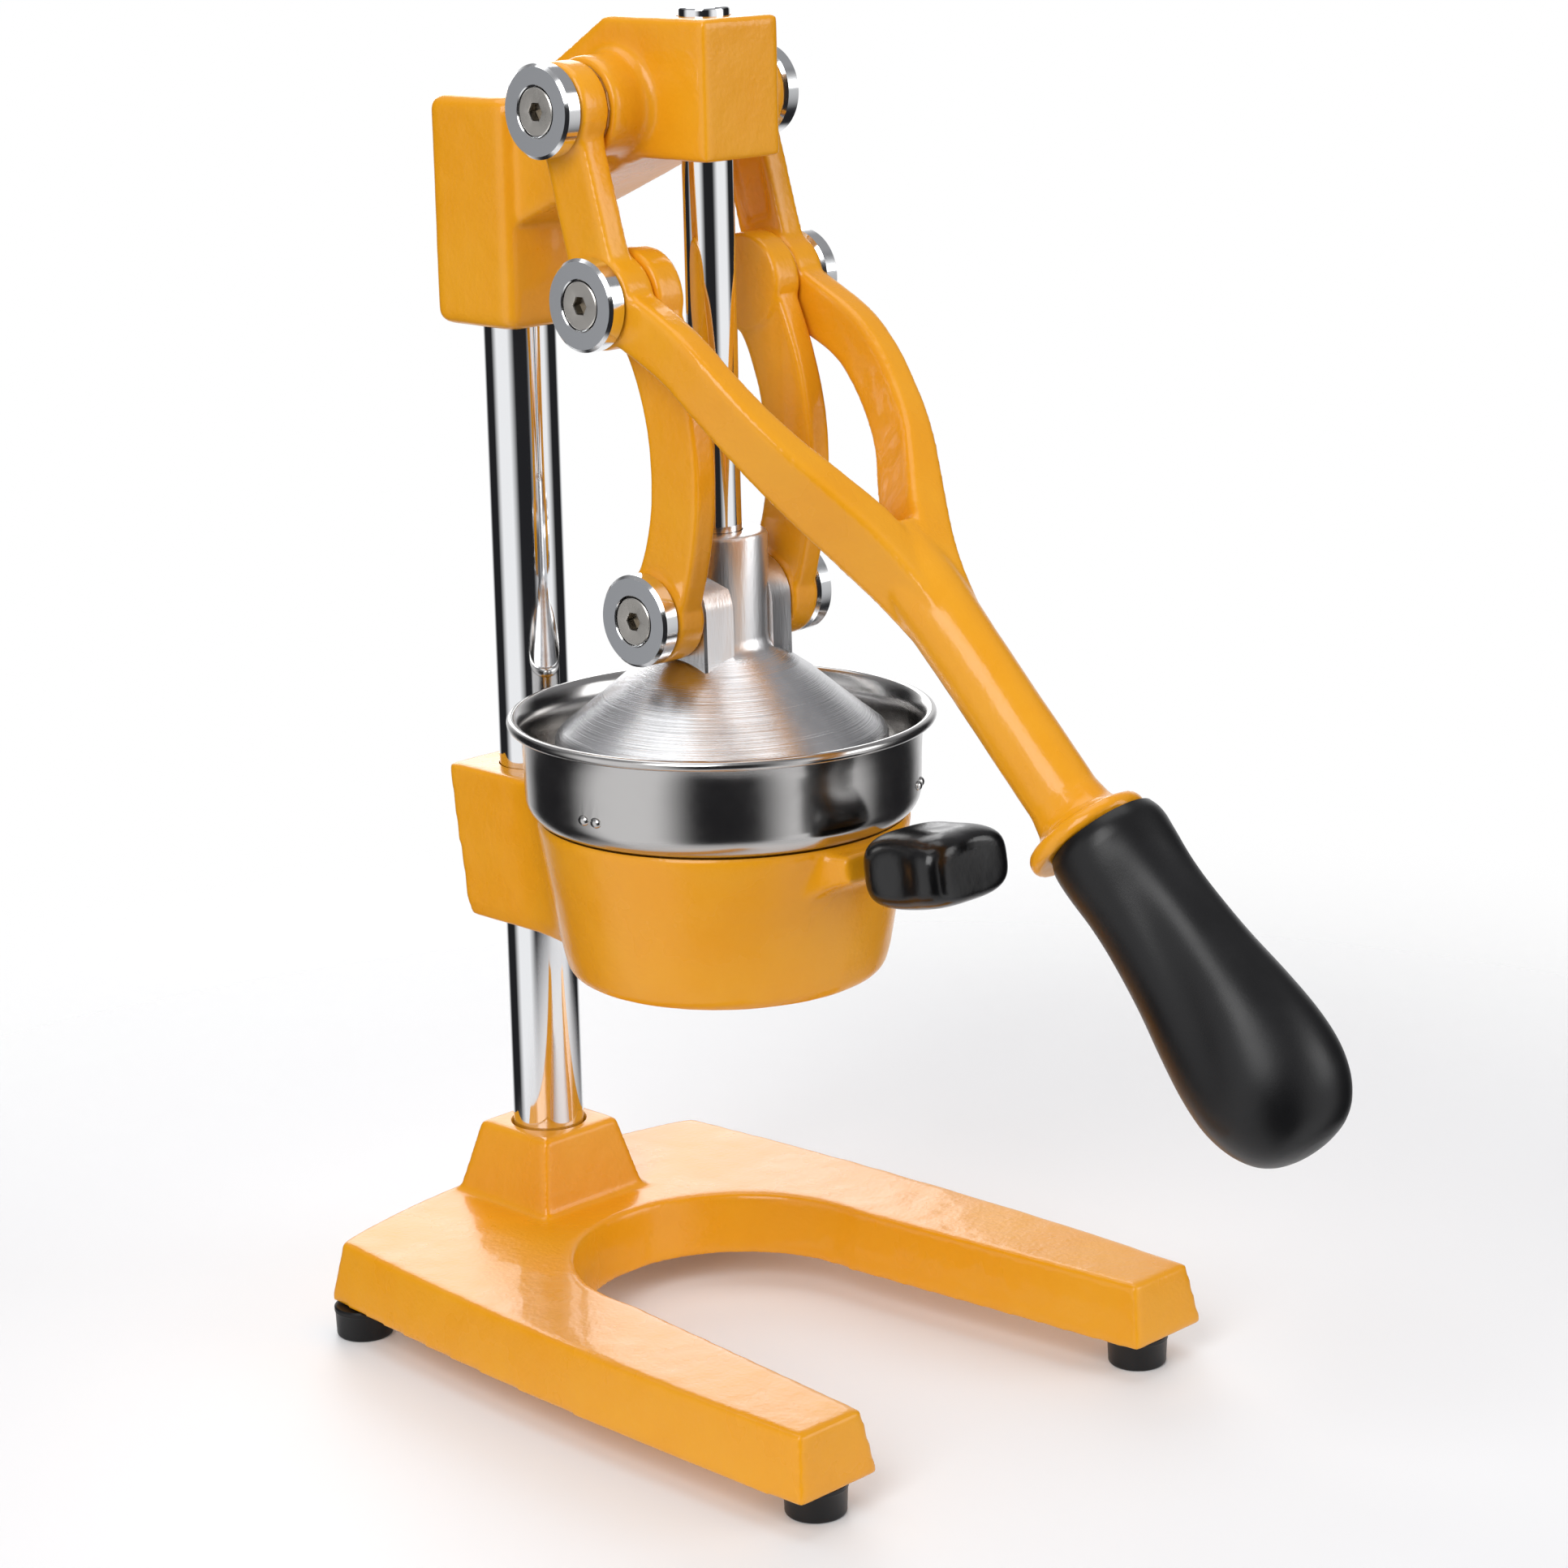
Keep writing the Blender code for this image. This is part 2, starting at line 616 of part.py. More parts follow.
def fork_mesh(sign, middle):
    """One arm of the fork, from the middle eye out and round to the shaft."""
    stations = (
        (33.8, -middle[0] / MM, middle[1] / MM, 5.0, 8.4),
        (33.9, 64.0, -20.5, 4.9, 8.2),
        (34.2, 79.0, -15.6, 4.8, 8.0),
        (33.0, 92.0, -14.4, 4.8, 8.0),
        (29.6, 106.0, -14.4, 4.9, 8.2),
        (25.2, 118.0, -14.8, 5.1, 8.6),
        (17.6, 132.0, -15.8, 5.6, 9.2),
        (9.0, 147.0, -17.0, 6.6, 9.8),
        (3.5, 166.0, -17.7, 6.8, 10.0),
    )
    centres = [Vector((sign * x, -along, up)) * MM for x, along, up, _, _ in stations]
    rings = []
    for order, (_, _, _, half_across, half_up) in enumerate(stations):
        before = centres[max(order - 1, 0)]
        after = centres[min(order + 1, len(centres) - 1)]
        forward = (after - before).normalized()
        across = forward.cross(Vector((0, 0, 1))).normalized()
        upward = across.cross(forward)
        section = rounded_section(half_across * MM, half_up * MM, 2.4 * MM)
        rings.append([centres[order] + across * a + upward * u for a, u in section])
    return loft_mesh("lever_fork", rings)


def shaft_rings(stations, sides=16):
    """Rings round the shaft's axis, as (distance from the upper pivot, half width, half height)."""
    rings = []
    for along, half_x, half_z in stations:
        angles = [2 * math.pi * step / sides for step in range(sides)]
        rings.append(
            [(half_x * math.cos(a), -along, half_z * math.sin(a) - SHAFT_DROP) for a in angles]
        )
    return rings


def make_lever():
    middle = lever_point(MIDDLE_PIVOT)
    end = COLLAR_AT + COLLAR_THICKNESS
    shaft_stations = (
        (CROTCH, 10.5 * MM, 9.2 * MM), (CROTCH + 18 * MM, 11.4 * MM, SHAFT_RADIUS),
        (CROTCH + 40 * MM, 10.2 * MM, SHAFT_RADIUS), (COLLAR_AT - 6 * MM, 10.2 * MM, SHAFT_RADIUS),
        (COLLAR_AT - 0.5 * MM, 13 * MM, 13 * MM), (COLLAR_AT, COLLAR_RADIUS - 1 * MM, COLLAR_RADIUS - 1 * MM),
        (COLLAR_AT + 1 * MM, COLLAR_RADIUS, COLLAR_RADIUS), (end - 1 * MM, COLLAR_RADIUS, COLLAR_RADIUS),
        (end, COLLAR_RADIUS - 1 * MM, COLLAR_RADIUS - 1 * MM), (end, TANG_RADIUS, TANG_RADIUS),
        (end + TANG_LENGTH, TANG_RADIUS, TANG_RADIUS),
    )
    shaft = loft_mesh("lever_yoke", shaft_rings(shaft_stations))
    yoke = add_part("lever_yoke", shaft, "yellow_enamel", LEVER)
    for side, sign in SIDES:
        join(yoke, add_helper("fork_" + side, fork_mesh(sign, middle), LEVER))
        join(yoke, add_helper("neck_" + side, neck_mesh(middle, sign), LEVER))
        for level, eye, at in (("upper", UPPER_EYE, (0, 0)), ("middle", MIDDLE_EYE, middle)):
            ring = turned_helper(f"{level}_eye_{side}", eye_profile(eye, EYE_RADIUS), LEVER, 20)
            face_sideways(ring, sign, at)
            join(yoke, ring)
    for side, sign in SIDES:
        for level, at in (("upper", (0, 0)), ("middle", middle)):
            bore = cylinder_mesh("eye_bore", SLEEVE_RADIUS + GAP, 24 * MM, 44 * MM, 16)
            bore = add_helper(f"{level}_bore_{side}", bore, LEVER)
            face_sideways(bore, sign, at)
            cut(yoke, bore)
    return middle


def make_grip():
    """A pear-shaped grip over the tang, with flattened sides."""
    sections = (
        (0.00, 16.6, 16.4), (0.02, 17.6, 17.4), (0.06, 18.0, 17.8), (0.16, 16.4, 17.0),
        (0.30, 15.6, 17.6), (0.44, 16.4, 19.2), (0.58, 18.4, 21.4), (0.70, 20.0, 22.6),
        (0.80, 20.4, 22.4), (0.89, 18.2, 19.6), (0.95, 14.0, 14.8), (0.985, 8.6, 9.0),
        (1.00, 3.0, 3.2),
    )
    rings = []
    for part, half_x, half_z in sections:
        along = GRIP_START + GRIP_LENGTH * part
        angles = [2 * math.pi * step / 20 for step in range(20)]
        middle_z = GRIP_OFFSET - SHAFT_DROP
        rings.append([
            (half_x * MM * math.cos(a), -along, middle_z + half_z * MM * math.sin(a)) for a in angles
        ])
    grip = add_part("grip", loft_mesh("grip", rings), "black_rubber", LEVER)
    length = TANG_LENGTH + GAP
    bore = cylinder_mesh("grip_bore", TANG_RADIUS + GAP, -5 * MM, length, 16)
    bore = add_helper("grip_bore", bore, LEVER)
    bore.rotation_euler = (math.pi / 2, 0, 0)
    bore.location = (0, -(COLLAR_AT + COLLAR_THICKNESS), -SHAFT_DROP)
    cut(grip, bore)


# --- Links ----------------------------------------------------------------------------------------


def link_band(name):
    """The bowed band between a link's two eyes, as a strip along a circular arc."""
    rise = Vector((0, MIDDLE_PIVOT[0] - LOWER_PIVOT[0], MIDDLE_PIVOT[1] - LOWER_PIVOT[1]))
    upward = rise.normalized()
    forward = Vector((0, -upward.z, upward.y))
    half_chord = rise.length / 2
    radius = (half_chord**2 + LINK_BOW**2) / (2 * LINK_BOW)
    reach = math.asin(half_chord / radius) * 0.93
    middle_x = sum(LINK_FACES) / 2
    rings = []
    for step in range(9):
        angle = reach * (step / 4 - 1)
        bow = radius * math.cos(angle) - (radius - LINK_BOW)
        centre = upward * (half_chord + radius * math.sin(angle)) + forward * bow
        outward = forward * math.cos(angle) + upward * math.sin(angle)
        section = rounded_section(4.3 * MM, LINK_HALF_WIDTH, 1.6 * MM)
        rings.append([centre + outward * up + Vector((middle_x + side, 0, 0)) for side, up in section])
    return loft_mesh(name, rings)


def mirrored(mesh):
    """The same mesh for the left side."""
    builder = bmesh.new()
    builder.from_mesh(mesh)
    bmesh.ops.scale(builder, vec=(-1, 1, 1), verts=builder.verts)
    bmesh.ops.reverse_faces(builder, faces=builder.faces)
    return mesh_of(mesh.name + "_left", builder)


def make_links():
    upper = (MIDDLE_PIVOT[0] - LOWER_PIVOT[0], MIDDLE_PIVOT[1] - LOWER_PIVOT[1])
    for side, sign in SIDES:
        band = link_band("link_band")
        if sign < 0:
            band = mirrored(band)
        link = add_part("link_" + side, band, "yellow_enamel", LINKS)
        for level, radius, at in (("upper", LINK_UPPER_RADIUS, upper), ("lower", LINK_LOWER_RADIUS, (0, 0))):
            profile = eye_profile(LINK_FACES, radius)
            eye = turned_helper(f"link_{level}_eye_{side}", profile, LINKS, 20)
            face_sideways(eye, sign, at)
            join(link, eye)
        blind = cylinder_mesh("link_thread", SLEEVE_BORE, LINK_FACES[0] + 3 * MM, 40 * MM, 16)
        blind = add_helper("link_thread_" + side, blind, LINKS)
        face_sideways(blind, sign, upper)
        cut(link, blind)
        bore = cylinder_mesh("link_bore", SLEEVE_RADIUS + GAP, 10 * MM, 40 * MM, 16)
        bore = add_helper("link_bore_" + side, bore, LINKS)
        face_sideways(bore, sign, (0, 0))
        cut(link, bore)


# --- Ram ------------------------------------------------------------------------------------------


def presser_outside():
    """The stem and cone's outer side, top to rim."""
    return (
        (STEM_RADIUS - 1 * MM, STEM_TOP), (STEM_RADIUS, STEM_TOP - 1 * MM),
        (STEM_RADIUS, 221 * MM), (16.4 * MM, 217.6 * MM), (20 * MM, 215 * MM),
        (28 * MM, 209.4 * MM), (37 * MM, 201.4 * MM), (46.4 * MM, 194 * MM),
        (48.6 * MM, 192.4 * MM), (PRESSER_RADIUS, PRESSER_RIM_TOP), (PRESSER_RADIUS, PRESSER_RIM_BOTTOM),
    )


def presser_inside():
    """The hollow under the cone, from its flat top down to the rim."""
    return (
        (9 * MM, 217 * MM), (19 * MM, 211 * MM), (27 * MM, 204.8 * MM), (36 * MM, 196.8 * MM),
        (PRESSER_RADIUS - PRESSER_WALL, PRESSER_RIM_TOP - 2.4 * MM),
        (PRESSER_RADIUS - PRESSER_WALL, PRESSER_RIM_BOTTOM - 5 * MM),
    )


def ear_mesh(sign):
    """A flat lug beside the stem, round over the lower pivot."""
    top = arc(LOWER_PIVOT, EAR_HALF_WIDTH, 0, math.pi, 11)
    outline = [(EAR_HALF_WIDTH, 200 * MM)] + top + [(-EAR_HALF_WIDTH, 200 * MM)]
    faces = (sign * 8 * MM, sign * EAR_FACE)
    return loft_mesh("presser_ear", [[(x, y, z) for y, z in outline] for x in faces])


def make_ram():
    outline = [(0, STEM_TOP), *presser_outside(), (0, PRESSER_RIM_BOTTOM)]
    presser = turned_part("presser", outline, "cast_aluminium", RAM, 36)
    for side, sign in SIDES:
        ear = add_helper("ear_" + side, ear_mesh(sign), RAM)
        bevel(ear, 1.2 * MM, 1)
        join(presser, ear)
    hollow = [(0, 217 * MM), *presser_inside(), (0, PRESSER_RIM_BOTTOM - 5 * MM)]
    cut(presser, turned_helper("presser_hollow", hollow, RAM, 36))
    socket = cylinder_mesh("rod_socket", ROD_RADIUS + GAP, ROD_BOTTOM - GAP, STEM_TOP + 5 * MM, 28)
    cut(presser, add_helper("rod_socket", socket, RAM))
    for side, sign in SIDES:
        hole = cylinder_mesh("ear_hole", SLEEVE_BORE, 9.4 * MM, EAR_FACE + 2 * MM, 16)
        hole = add_helper("ear_hole_" + side, hole, RAM)
        face_sideways(hole, sign, LOWER_PIVOT)
        cut(presser, hole)
    rod_profile = (
        (0, ROD_TOP), (ROD_RADIUS - 1 * MM, ROD_TOP), (ROD_RADIUS, ROD_TOP - 1 * MM),
        (ROD_RADIUS, ROD_BOTTOM + 1 * MM), (ROD_RADIUS - 1 * MM, ROD_BOTTOM), (0, ROD_BOTTOM),
    )
    turned_part("ram_rod", rod_profile, "chrome", RAM, 28)


# --- Cup holder, cup and reamer -------------------------------------------------------------------


def holder_neck_half(narrow, pull, height):
    """Right side of the neck that joins the holder's bowl to its block on the post."""
    rear = 103.4 * MM - pull
    points = [
        (18.9 * MM - narrow, rear), (19.6 * MM - narrow, 78 * MM), (21.6 * MM - narrow, 67 * MM),
        (26.0 * MM - narrow, 58 * MM), (33.0 * MM - narrow, 49 * MM), (38.0 * MM - 2 * narrow, 36 * MM),
    ]
    return [(x, y, height) for x, y in points]


def holder_neck_ring(narrow, pull, height):
    right = holder_neck_half(narrow, pull, height)
    return right + [(-x, y, z) for x, y, z in reversed(right)]


def corner_arc(radius, height, size, count=5):
    """Points of a rounded outer corner, from the wall down to the floor."""
    centre = (radius - size, height + size)
    return arc(centre, size, 0, -math.pi / 2, count)


def cup_seat(offset):
    """The round corner that the cup rests in, from the wall down to the floor, grown by an offset."""
    centre = (CUP_RADIUS - CUP_CORNER, CUP_FLOOR + CUP_CORNER)
    return arc(centre, CUP_CORNER + offset, 0, -math.pi / 2, 5)


def tab_point(along, across, up):
    """A place on the tab: along it from its root, across it, and up from its middle."""
    cosine, sine = math.cos(TAB_TILT), math.sin(TAB_TILT)
    y = TAB_ROOT[0] - along * cosine + up * sine
    z = TAB_ROOT[1] + along * sine + up * cosine
    return (across, y, z)


def tab_rings(stations):
    """Rings of the tab or its cap, as (along, half width, half thickness, corner)."""
    rings = []
    for along, half_x, half_z, corner in stations:
        section = rounded_section(half_x, half_z, corner)
        rings.append([tab_point(along, across, up) for across, up in section])
    return rings


def make_holder():
    bowl = (
        (0, HOLDER_TOP), (HOLDER_RADIUS_TOP - 0.8 * MM, HOLDER_TOP),
        (HOLDER_RADIUS_TOP, HOLDER_TOP - 0.8 * MM), (53.2 * MM, 152 * MM),
        (HOLDER_RADIUS_BOTTOM + 0.8 * MM, HOLDER_BOTTOM + 6 * MM),
        *corner_arc(HOLDER_RADIUS_BOTTOM, HOLDER_BOTTOM, 4 * MM, 3), (0, HOLDER_BOTTOM),
    )
    holder = turned_part("cup_holder", bowl, "yellow_enamel", FRAME, 36)
    neck_rings = (
        holder_neck_ring(1.6 * MM, 5 * MM, HOLDER_BOTTOM + 0.6 * MM),
        holder_neck_ring(0, 0, HOLDER_TOP + 0.4 * MM),
    )
    neck = add_helper("holder_neck", loft_mesh("holder_neck", neck_rings), FRAME)
    bevel(neck, 2 * MM)
    join(holder, neck)
    stub_stations = (
        (-3 * MM, 15 * MM, TAB_HALF_Z + 1.6 * MM, 2 * MM), (6 * MM, TAB_HALF_X, TAB_HALF_Z, 2 * MM),
        (TAB_LENGTH, TAB_HALF_X, TAB_HALF_Z, 2 * MM),
    )
    join(holder, add_helper("tab_stub", loft_mesh("tab_stub", tab_rings(stub_stations)), FRAME))
    floor = HOLDER_BOTTOM + HOLDER_FLOOR
    inside = [
        (0, HOLDER_TOP + 10 * MM), (CUP_RADIUS + 0.4 * MM, HOLDER_TOP + 10 * MM),
        *cup_seat(0.4 * MM)[1:], (46 * MM, CUP_FLOOR - 0.4 * MM), (45 * MM, 158 * MM),
        (HOLDER_RADIUS_BOTTOM - HOLDER_WALL, floor + 5 * MM), (DRAIN_RADIUS, floor),
        (DRAIN_RADIUS, HOLDER_BOTTOM - 5 * MM), (0, HOLDER_BOTTOM - 5 * MM),
    ]
    cut(holder, turned_helper("holder_inside", inside, FRAME, 36))
    post_hole = cylinder_mesh("holder_post_hole", POST_RADIUS + GAP, 110 * MM, 180 * MM, 32)
    post_hole = add_helper("holder_post_hole", post_hole, FRAME)
    post_hole.location = (0, POST_Y, 0)
    cut(holder, post_hole)
    make_set_screws(holder, 101 * MM, (156 * MM, 132 * MM))


def make_tab_cap():
    start, end = CAP_START, CAP_START + CAP_LENGTH
    stations = (
        (start, CAP_HALF_X - 1.2 * MM, CAP_HALF_Z - 1.2 * MM, 5.5 * MM),
        (start + 1.2 * MM, CAP_HALF_X, CAP_HALF_Z, 6 * MM),
        (end - 4 * MM, CAP_HALF_X - 0.6 * MM, CAP_HALF_Z - 0.4 * MM, 5.5 * MM),
        (end - 1 * MM, CAP_HALF_X - 2.4 * MM, CAP_HALF_Z - 2.2 * MM, 5 * MM),
        (end, CAP_HALF_X - 5 * MM, CAP_HALF_Z - 4.6 * MM, 3.5 * MM),
    )
    cap = add_part("tab_cap", loft_mesh("tab_cap", tab_rings(stations)), "black_rubber", FRAME)
    hollow_stations = (
        (start - 5 * MM, TAB_HALF_X + GAP, TAB_HALF_Z + GAP, 1.8 * MM),
        (TAB_LENGTH + GAP, TAB_HALF_X + GAP, TAB_HALF_Z + GAP, 1.8 * MM),
    )
    cut(cap, add_helper("cap_hollow", loft_mesh("cap_hollow", tab_rings(hollow_stations)), FRAME))


def make_cup():
    """A shallow cup with a rolled rim and a ring of drain holes in its floor."""
    bead = arc((CUP_RIM_RADIUS - 1.6 * MM, CUP_RIM_TOP - 1.6 * MM), 1.6 * MM, math.pi * 0.75, -math.pi * 0.6, 5)
    outside = [*bead, (CUP_RADIUS + 0.6 * MM, 193 * MM), *cup_seat(0), (0, CUP_FLOOR)]
    inside = [(0, CUP_FLOOR + CUP_WALL), *reversed(cup_seat(-CUP_WALL)), (CUP_RADIUS + 0.6 * MM - CUP_WALL, 193 * MM)]
    mesh = profile_mesh("strainer_cup", [*inside, *outside])
    cup = add_part("strainer_cup", mesh, "stainless", CUP)
    turn(cup, 36)
    builder = bmesh.new()
    for step in range(CUP_HOLES):
        angle = 2 * math.pi * step / CUP_HOLES
        made = bmesh.ops.create_cone(
            builder, cap_ends=True, segments=6, radius1=CUP_HOLE_RADIUS, radius2=CUP_HOLE_RADIUS,
            depth=10 * MM,
        )
        place = (CUP_HOLE_CIRCLE * math.cos(angle), CUP_HOLE_CIRCLE * math.sin(angle), CUP_FLOOR)
        bmesh.ops.translate(builder, vec=place, verts=made["verts"])
    cut(cup, add_helper("cup_holes", mesh_of("cup_holes", builder), CUP))


def make_reamer():
    """A fluted cone on the cup's floor that the fruit is pressed over."""
    bottom = CUP_FLOOR + CUP_WALL + GAP
    shape = ((0.0, 1.0), (0.05, 1.0), (0.35, 0.80), (0.65, 0.52), (0.88, 0.26), (0.97, 0.13), (1.0, 0.05))
    rings = []
    for rise, width in shape:
        ring = []
        for step in range(4 * REAMER_FLUTES):
            angle = 2 * math.pi * step / (4 * REAMER_FLUTES)
            depth = 0.0 if rise < 0.1 else 0.07
            ripple = 1 - depth * (1 - math.cos(REAMER_FLUTES * angle))
            radius = REAMER_RADIUS * width * ripple
            ring.append((radius * math.cos(angle), radius * math.sin(angle), bottom + REAMER_HEIGHT * rise))
        rings.append(ring)
    add_part("reamer", loft_mesh("reamer", rings), "stainless", CUP)


clear_scene()
PARTS = new_collection("citrus_press")
HELPERS = new_collection("cutters")
MATERIALS = {name: new_finish(name, *values) for name, values in FINISHES.items()}
FRAME = new_body("frame_origin", (0, RAM_Y, 0))
RAM = new_body("ram_axis", (0, RAM_Y, 0))
CUP = new_body("cup_axis", (0, RAM_Y, 0))
LINKS = new_body("link_axis", (0, RAM_Y + LOWER_PIVOT[0], LOWER_PIVOT[1]))
LEVER = new_body("lever_axis", (0, RAM_Y + UPPER_PIVOT[0], UPPER_PIVOT[1]), LEVER_TILT)

make_base()
make_feet()
make_post()
make_head()
make_upper_shims()
make_pivot("upper", FRAME, UPPER_PIVOT, UPPER_EYE, 18.5 * MM)
make_holder()
make_tab_cap()
make_cup()
make_reamer()
make_ram()
make_pivot("lower", RAM, LOWER_PIVOT, LINK_FACES, 9.8 * MM)
make_links()
MIDDLE_IN_LEVER = make_lever()
make_pivot("middle", LEVER, MIDDLE_IN_LEVER, MIDDLE_EYE, MIDDLE_EYE[0] + 0.4 * MM)
make_grip()
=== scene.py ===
"""Citrus press: the finished look of a hand press, built round the fixed frame of its solids.

Metres, +Z up. The user stands at -Y, so left is -X.
"""

import math

import bmesh
import bpy
from bpy.props import FloatProperty, FloatVectorProperty, IntProperty, PointerProperty
from mathutils import Matrix, Vector


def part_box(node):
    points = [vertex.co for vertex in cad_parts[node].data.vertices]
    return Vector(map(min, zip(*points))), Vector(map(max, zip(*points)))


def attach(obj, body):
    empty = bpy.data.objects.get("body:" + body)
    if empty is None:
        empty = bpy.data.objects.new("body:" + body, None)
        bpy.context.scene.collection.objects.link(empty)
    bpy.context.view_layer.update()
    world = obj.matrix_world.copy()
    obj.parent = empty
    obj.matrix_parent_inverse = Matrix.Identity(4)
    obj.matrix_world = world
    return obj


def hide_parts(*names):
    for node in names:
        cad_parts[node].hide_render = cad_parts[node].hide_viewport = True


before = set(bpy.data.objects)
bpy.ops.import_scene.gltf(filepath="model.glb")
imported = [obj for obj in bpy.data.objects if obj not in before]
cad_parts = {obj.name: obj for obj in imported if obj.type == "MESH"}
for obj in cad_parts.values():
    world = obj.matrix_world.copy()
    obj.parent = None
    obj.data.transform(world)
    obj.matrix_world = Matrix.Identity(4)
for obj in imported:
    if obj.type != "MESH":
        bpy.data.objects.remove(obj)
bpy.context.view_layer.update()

bl_info = {
    "name": "Citrus Press",
    "version": (1, 0, 0),
    "blender": (4, 5, 0),
    "location": "View3D > Sidebar > Citrus Press",
    "description": "Builds a hand citrus press with cast, turned and moulded pieces",
    "category": "Add Mesh",
}

MM = 0.001
SIDES = (("left", -1), ("right", 1))
LEVELS = (("upper", "frame"), ("lower", "ram"), ("middle", "lever"))


def middle_of(node):
    low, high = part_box(node)
    return (low + high) / 2


def span_of(node):
    low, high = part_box(node)
    return high - low


RAM_Y = middle_of("ram_rod").y
POST_Y = middle_of("post").y
RAM_PLACE = Matrix.Translation((0, RAM_Y, 0))
POST_PLACE = Matrix.Translation((0, POST_Y, 0))
PIVOTS = {level: middle_of(f"{level}_pivot_washer_right") for level, _ in LEVELS}
EYE_BORE = span_of("upper_pivot_sleeve_right").z / 2 + 0.3 * MM
THREAD_BORE = 4.3 * MM
SET_SCREW_BORE = 3.3 * MM
POST_BORE = span_of("post").x / 2 + 0.35 * MM
THROUGH = 3 * MM  # How far a bore's cutter runs past the face that it opens.
TURNED_CREASE = math.radians(30)
MACHINED_CREASE = math.radians(32)
CAST_CREASE = math.radians(40)
MOULDED_CREASE = math.radians(50)
LEVER_TILT = math.radians(45.57)
SHAFT_DROP = 17.7 * MM
LEVER_PLACE = (
    Matrix.Translation((0, PIVOTS["upper"].y, PIVOTS["upper"].z)) @ Matrix.Rotation(LEVER_TILT, 4, "X"))


# --- Sizes and colours a user can change ----------------------------------------------------------


class CitrusPressSizes(bpy.types.PropertyGroup):
    casting_step: FloatProperty(
        name="Casting Step", description="Multiplies the step that every casting is resolved with",
        default=1.0, min=0.8, max=3.0, subtype="FACTOR")
    casting_ripple: FloatProperty(
        name="Casting Ripple", description="Height of the uneven sand-cast surface under the enamel",
        default=0.2 * MM, min=0.0, max=2 * MM, unit="LENGTH", precision=5)
    turned_segments: IntProperty(
        name="Turned Segments", description="Facets round a turned piece", default=128, min=24, max=256)
    washer_chamfer: FloatProperty(
        name="Washer Chamfer", description="Width of the polished edge of a pivot washer",
        default=0.9 * MM, min=0.1 * MM, max=2 * MM, unit="LENGTH", precision=5)
    hex_width: FloatProperty(
        name="Hex Width", description="Width across the flats of the pivot screws' sockets",
        default=4.7 * MM, min=2 * MM, max=6 * MM, unit="LENGTH", precision=5)
    drain_hole: FloatProperty(
        name="Drain Hole", description="Radius of the holes in the floor of the cup",
        default=1.5 * MM, min=0.5 * MM, max=3 * MM, unit="LENGTH", precision=5)
    drain_holes: IntProperty(
        name="Drain Holes", description="Holes in the innermost ring in the floor of the cup",
        default=28, min=6, max=60)
    reamer_flutes: IntProperty(
        name="Reamer Flutes", description="Ridges round the reamer", default=10, min=4, max=20)


class CitrusPressFinishes(bpy.types.PropertyGroup):
    enamel: FloatVectorProperty(
        name="Enamel", description="Colour of the enamel on the castings", subtype="COLOR",
        size=4, default=(0.82, 0.335, 0.007, 1.0), min=0.0, max=1.0)
    enamel_thin: FloatVectorProperty(
        name="Thin Enamel", description="Colour of the enamel where it lies thin", subtype="COLOR",
        size=4, default=(0.84, 0.37, 0.012, 1.0), min=0.0, max=1.0)
    chrome: FloatVectorProperty(
        name="Chrome", description="Colour of the plated bars", subtype="COLOR",
        size=4, default=(0.86, 0.87, 0.88, 1.0), min=0.0, max=1.0)
    nickel: FloatVectorProperty(
        name="Nickel", description="Colour of the pivot screws", subtype="COLOR",
        size=4, default=(0.76, 0.73, 0.68, 1.0), min=0.0, max=1.0)
    aluminium: FloatVectorProperty(
        name="Aluminium", description="Colour of the presser", subtype="COLOR",
        size=4, default=(0.86, 0.86, 0.87, 1.0), min=0.0, max=1.0)
    stainless: FloatVectorProperty(
        name="Stainless Steel", description="Colour of the cup and the reamer", subtype="COLOR",
        size=4, default=(0.54, 0.53, 0.52, 1.0), min=0.0, max=1.0)
    rubber: FloatVectorProperty(
        name="Rubber", description="Colour of the grip, the cap and the feet", subtype="COLOR",
        size=4, default=(0.0035, 0.0035, 0.004, 1.0), min=0.0, max=1.0)


class CitrusPressStage(bpy.types.PropertyGroup):
    azimuth: FloatProperty(
        name="Azimuth", description="Camera direction, from the front towards the right",
        default=math.radians(-45.132), subtype="ANGLE")
    elevation: FloatProperty(
        name="Elevation", description="Camera height above the horizon",
        default=math.radians(12.994), subtype="ANGLE")
    roll: FloatProperty(
        name="Roll", description="Camera roll", default=math.radians(-1.241), subtype="ANGLE")
    distance: FloatProperty(
        name="Distance", description="From the camera to the press", default=1.1264, unit="LENGTH")
    lens: FloatProperty(
        name="Lens", description="Focal length on a 36 mm sensor", default=88.14, unit="CAMERA")
    shift: FloatProperty(
        name="Shift", description="Vertical lens shift, as a share of the frame", default=-0.073)
    aim: FloatVectorProperty(
        name="Aim", description="Place in the frame of the ram's axis, across and up from it",
        size=2, default=(18.4 * MM, 209.9 * MM), subtype="TRANSLATION")
    floor: FloatVectorProperty(
        name="Floor", description="Colour of the floor", subtype="COLOR",
        size=4, default=(0.86, 0.86, 0.87, 1.0), min=0.0, max=1.0)
    brightness: FloatProperty(
        name="Brightness", description="Strength of all studio lights", default=1.0, min=0.0)


def made_once(collection, name):
    """Makes a data block by name the first time it is asked for, and hands out the same one afterwards."""
    def wrap(make):
        return lambda: getattr(bpy.data, collection).get(name) or make(name)
    return wrap


def sizes():
    return bpy.context.scene.citrus_press_sizes


def finishes():
    return bpy.context.scene.citrus_press_finishes


# --- Solids ---------------------------------------------------------------------------------------


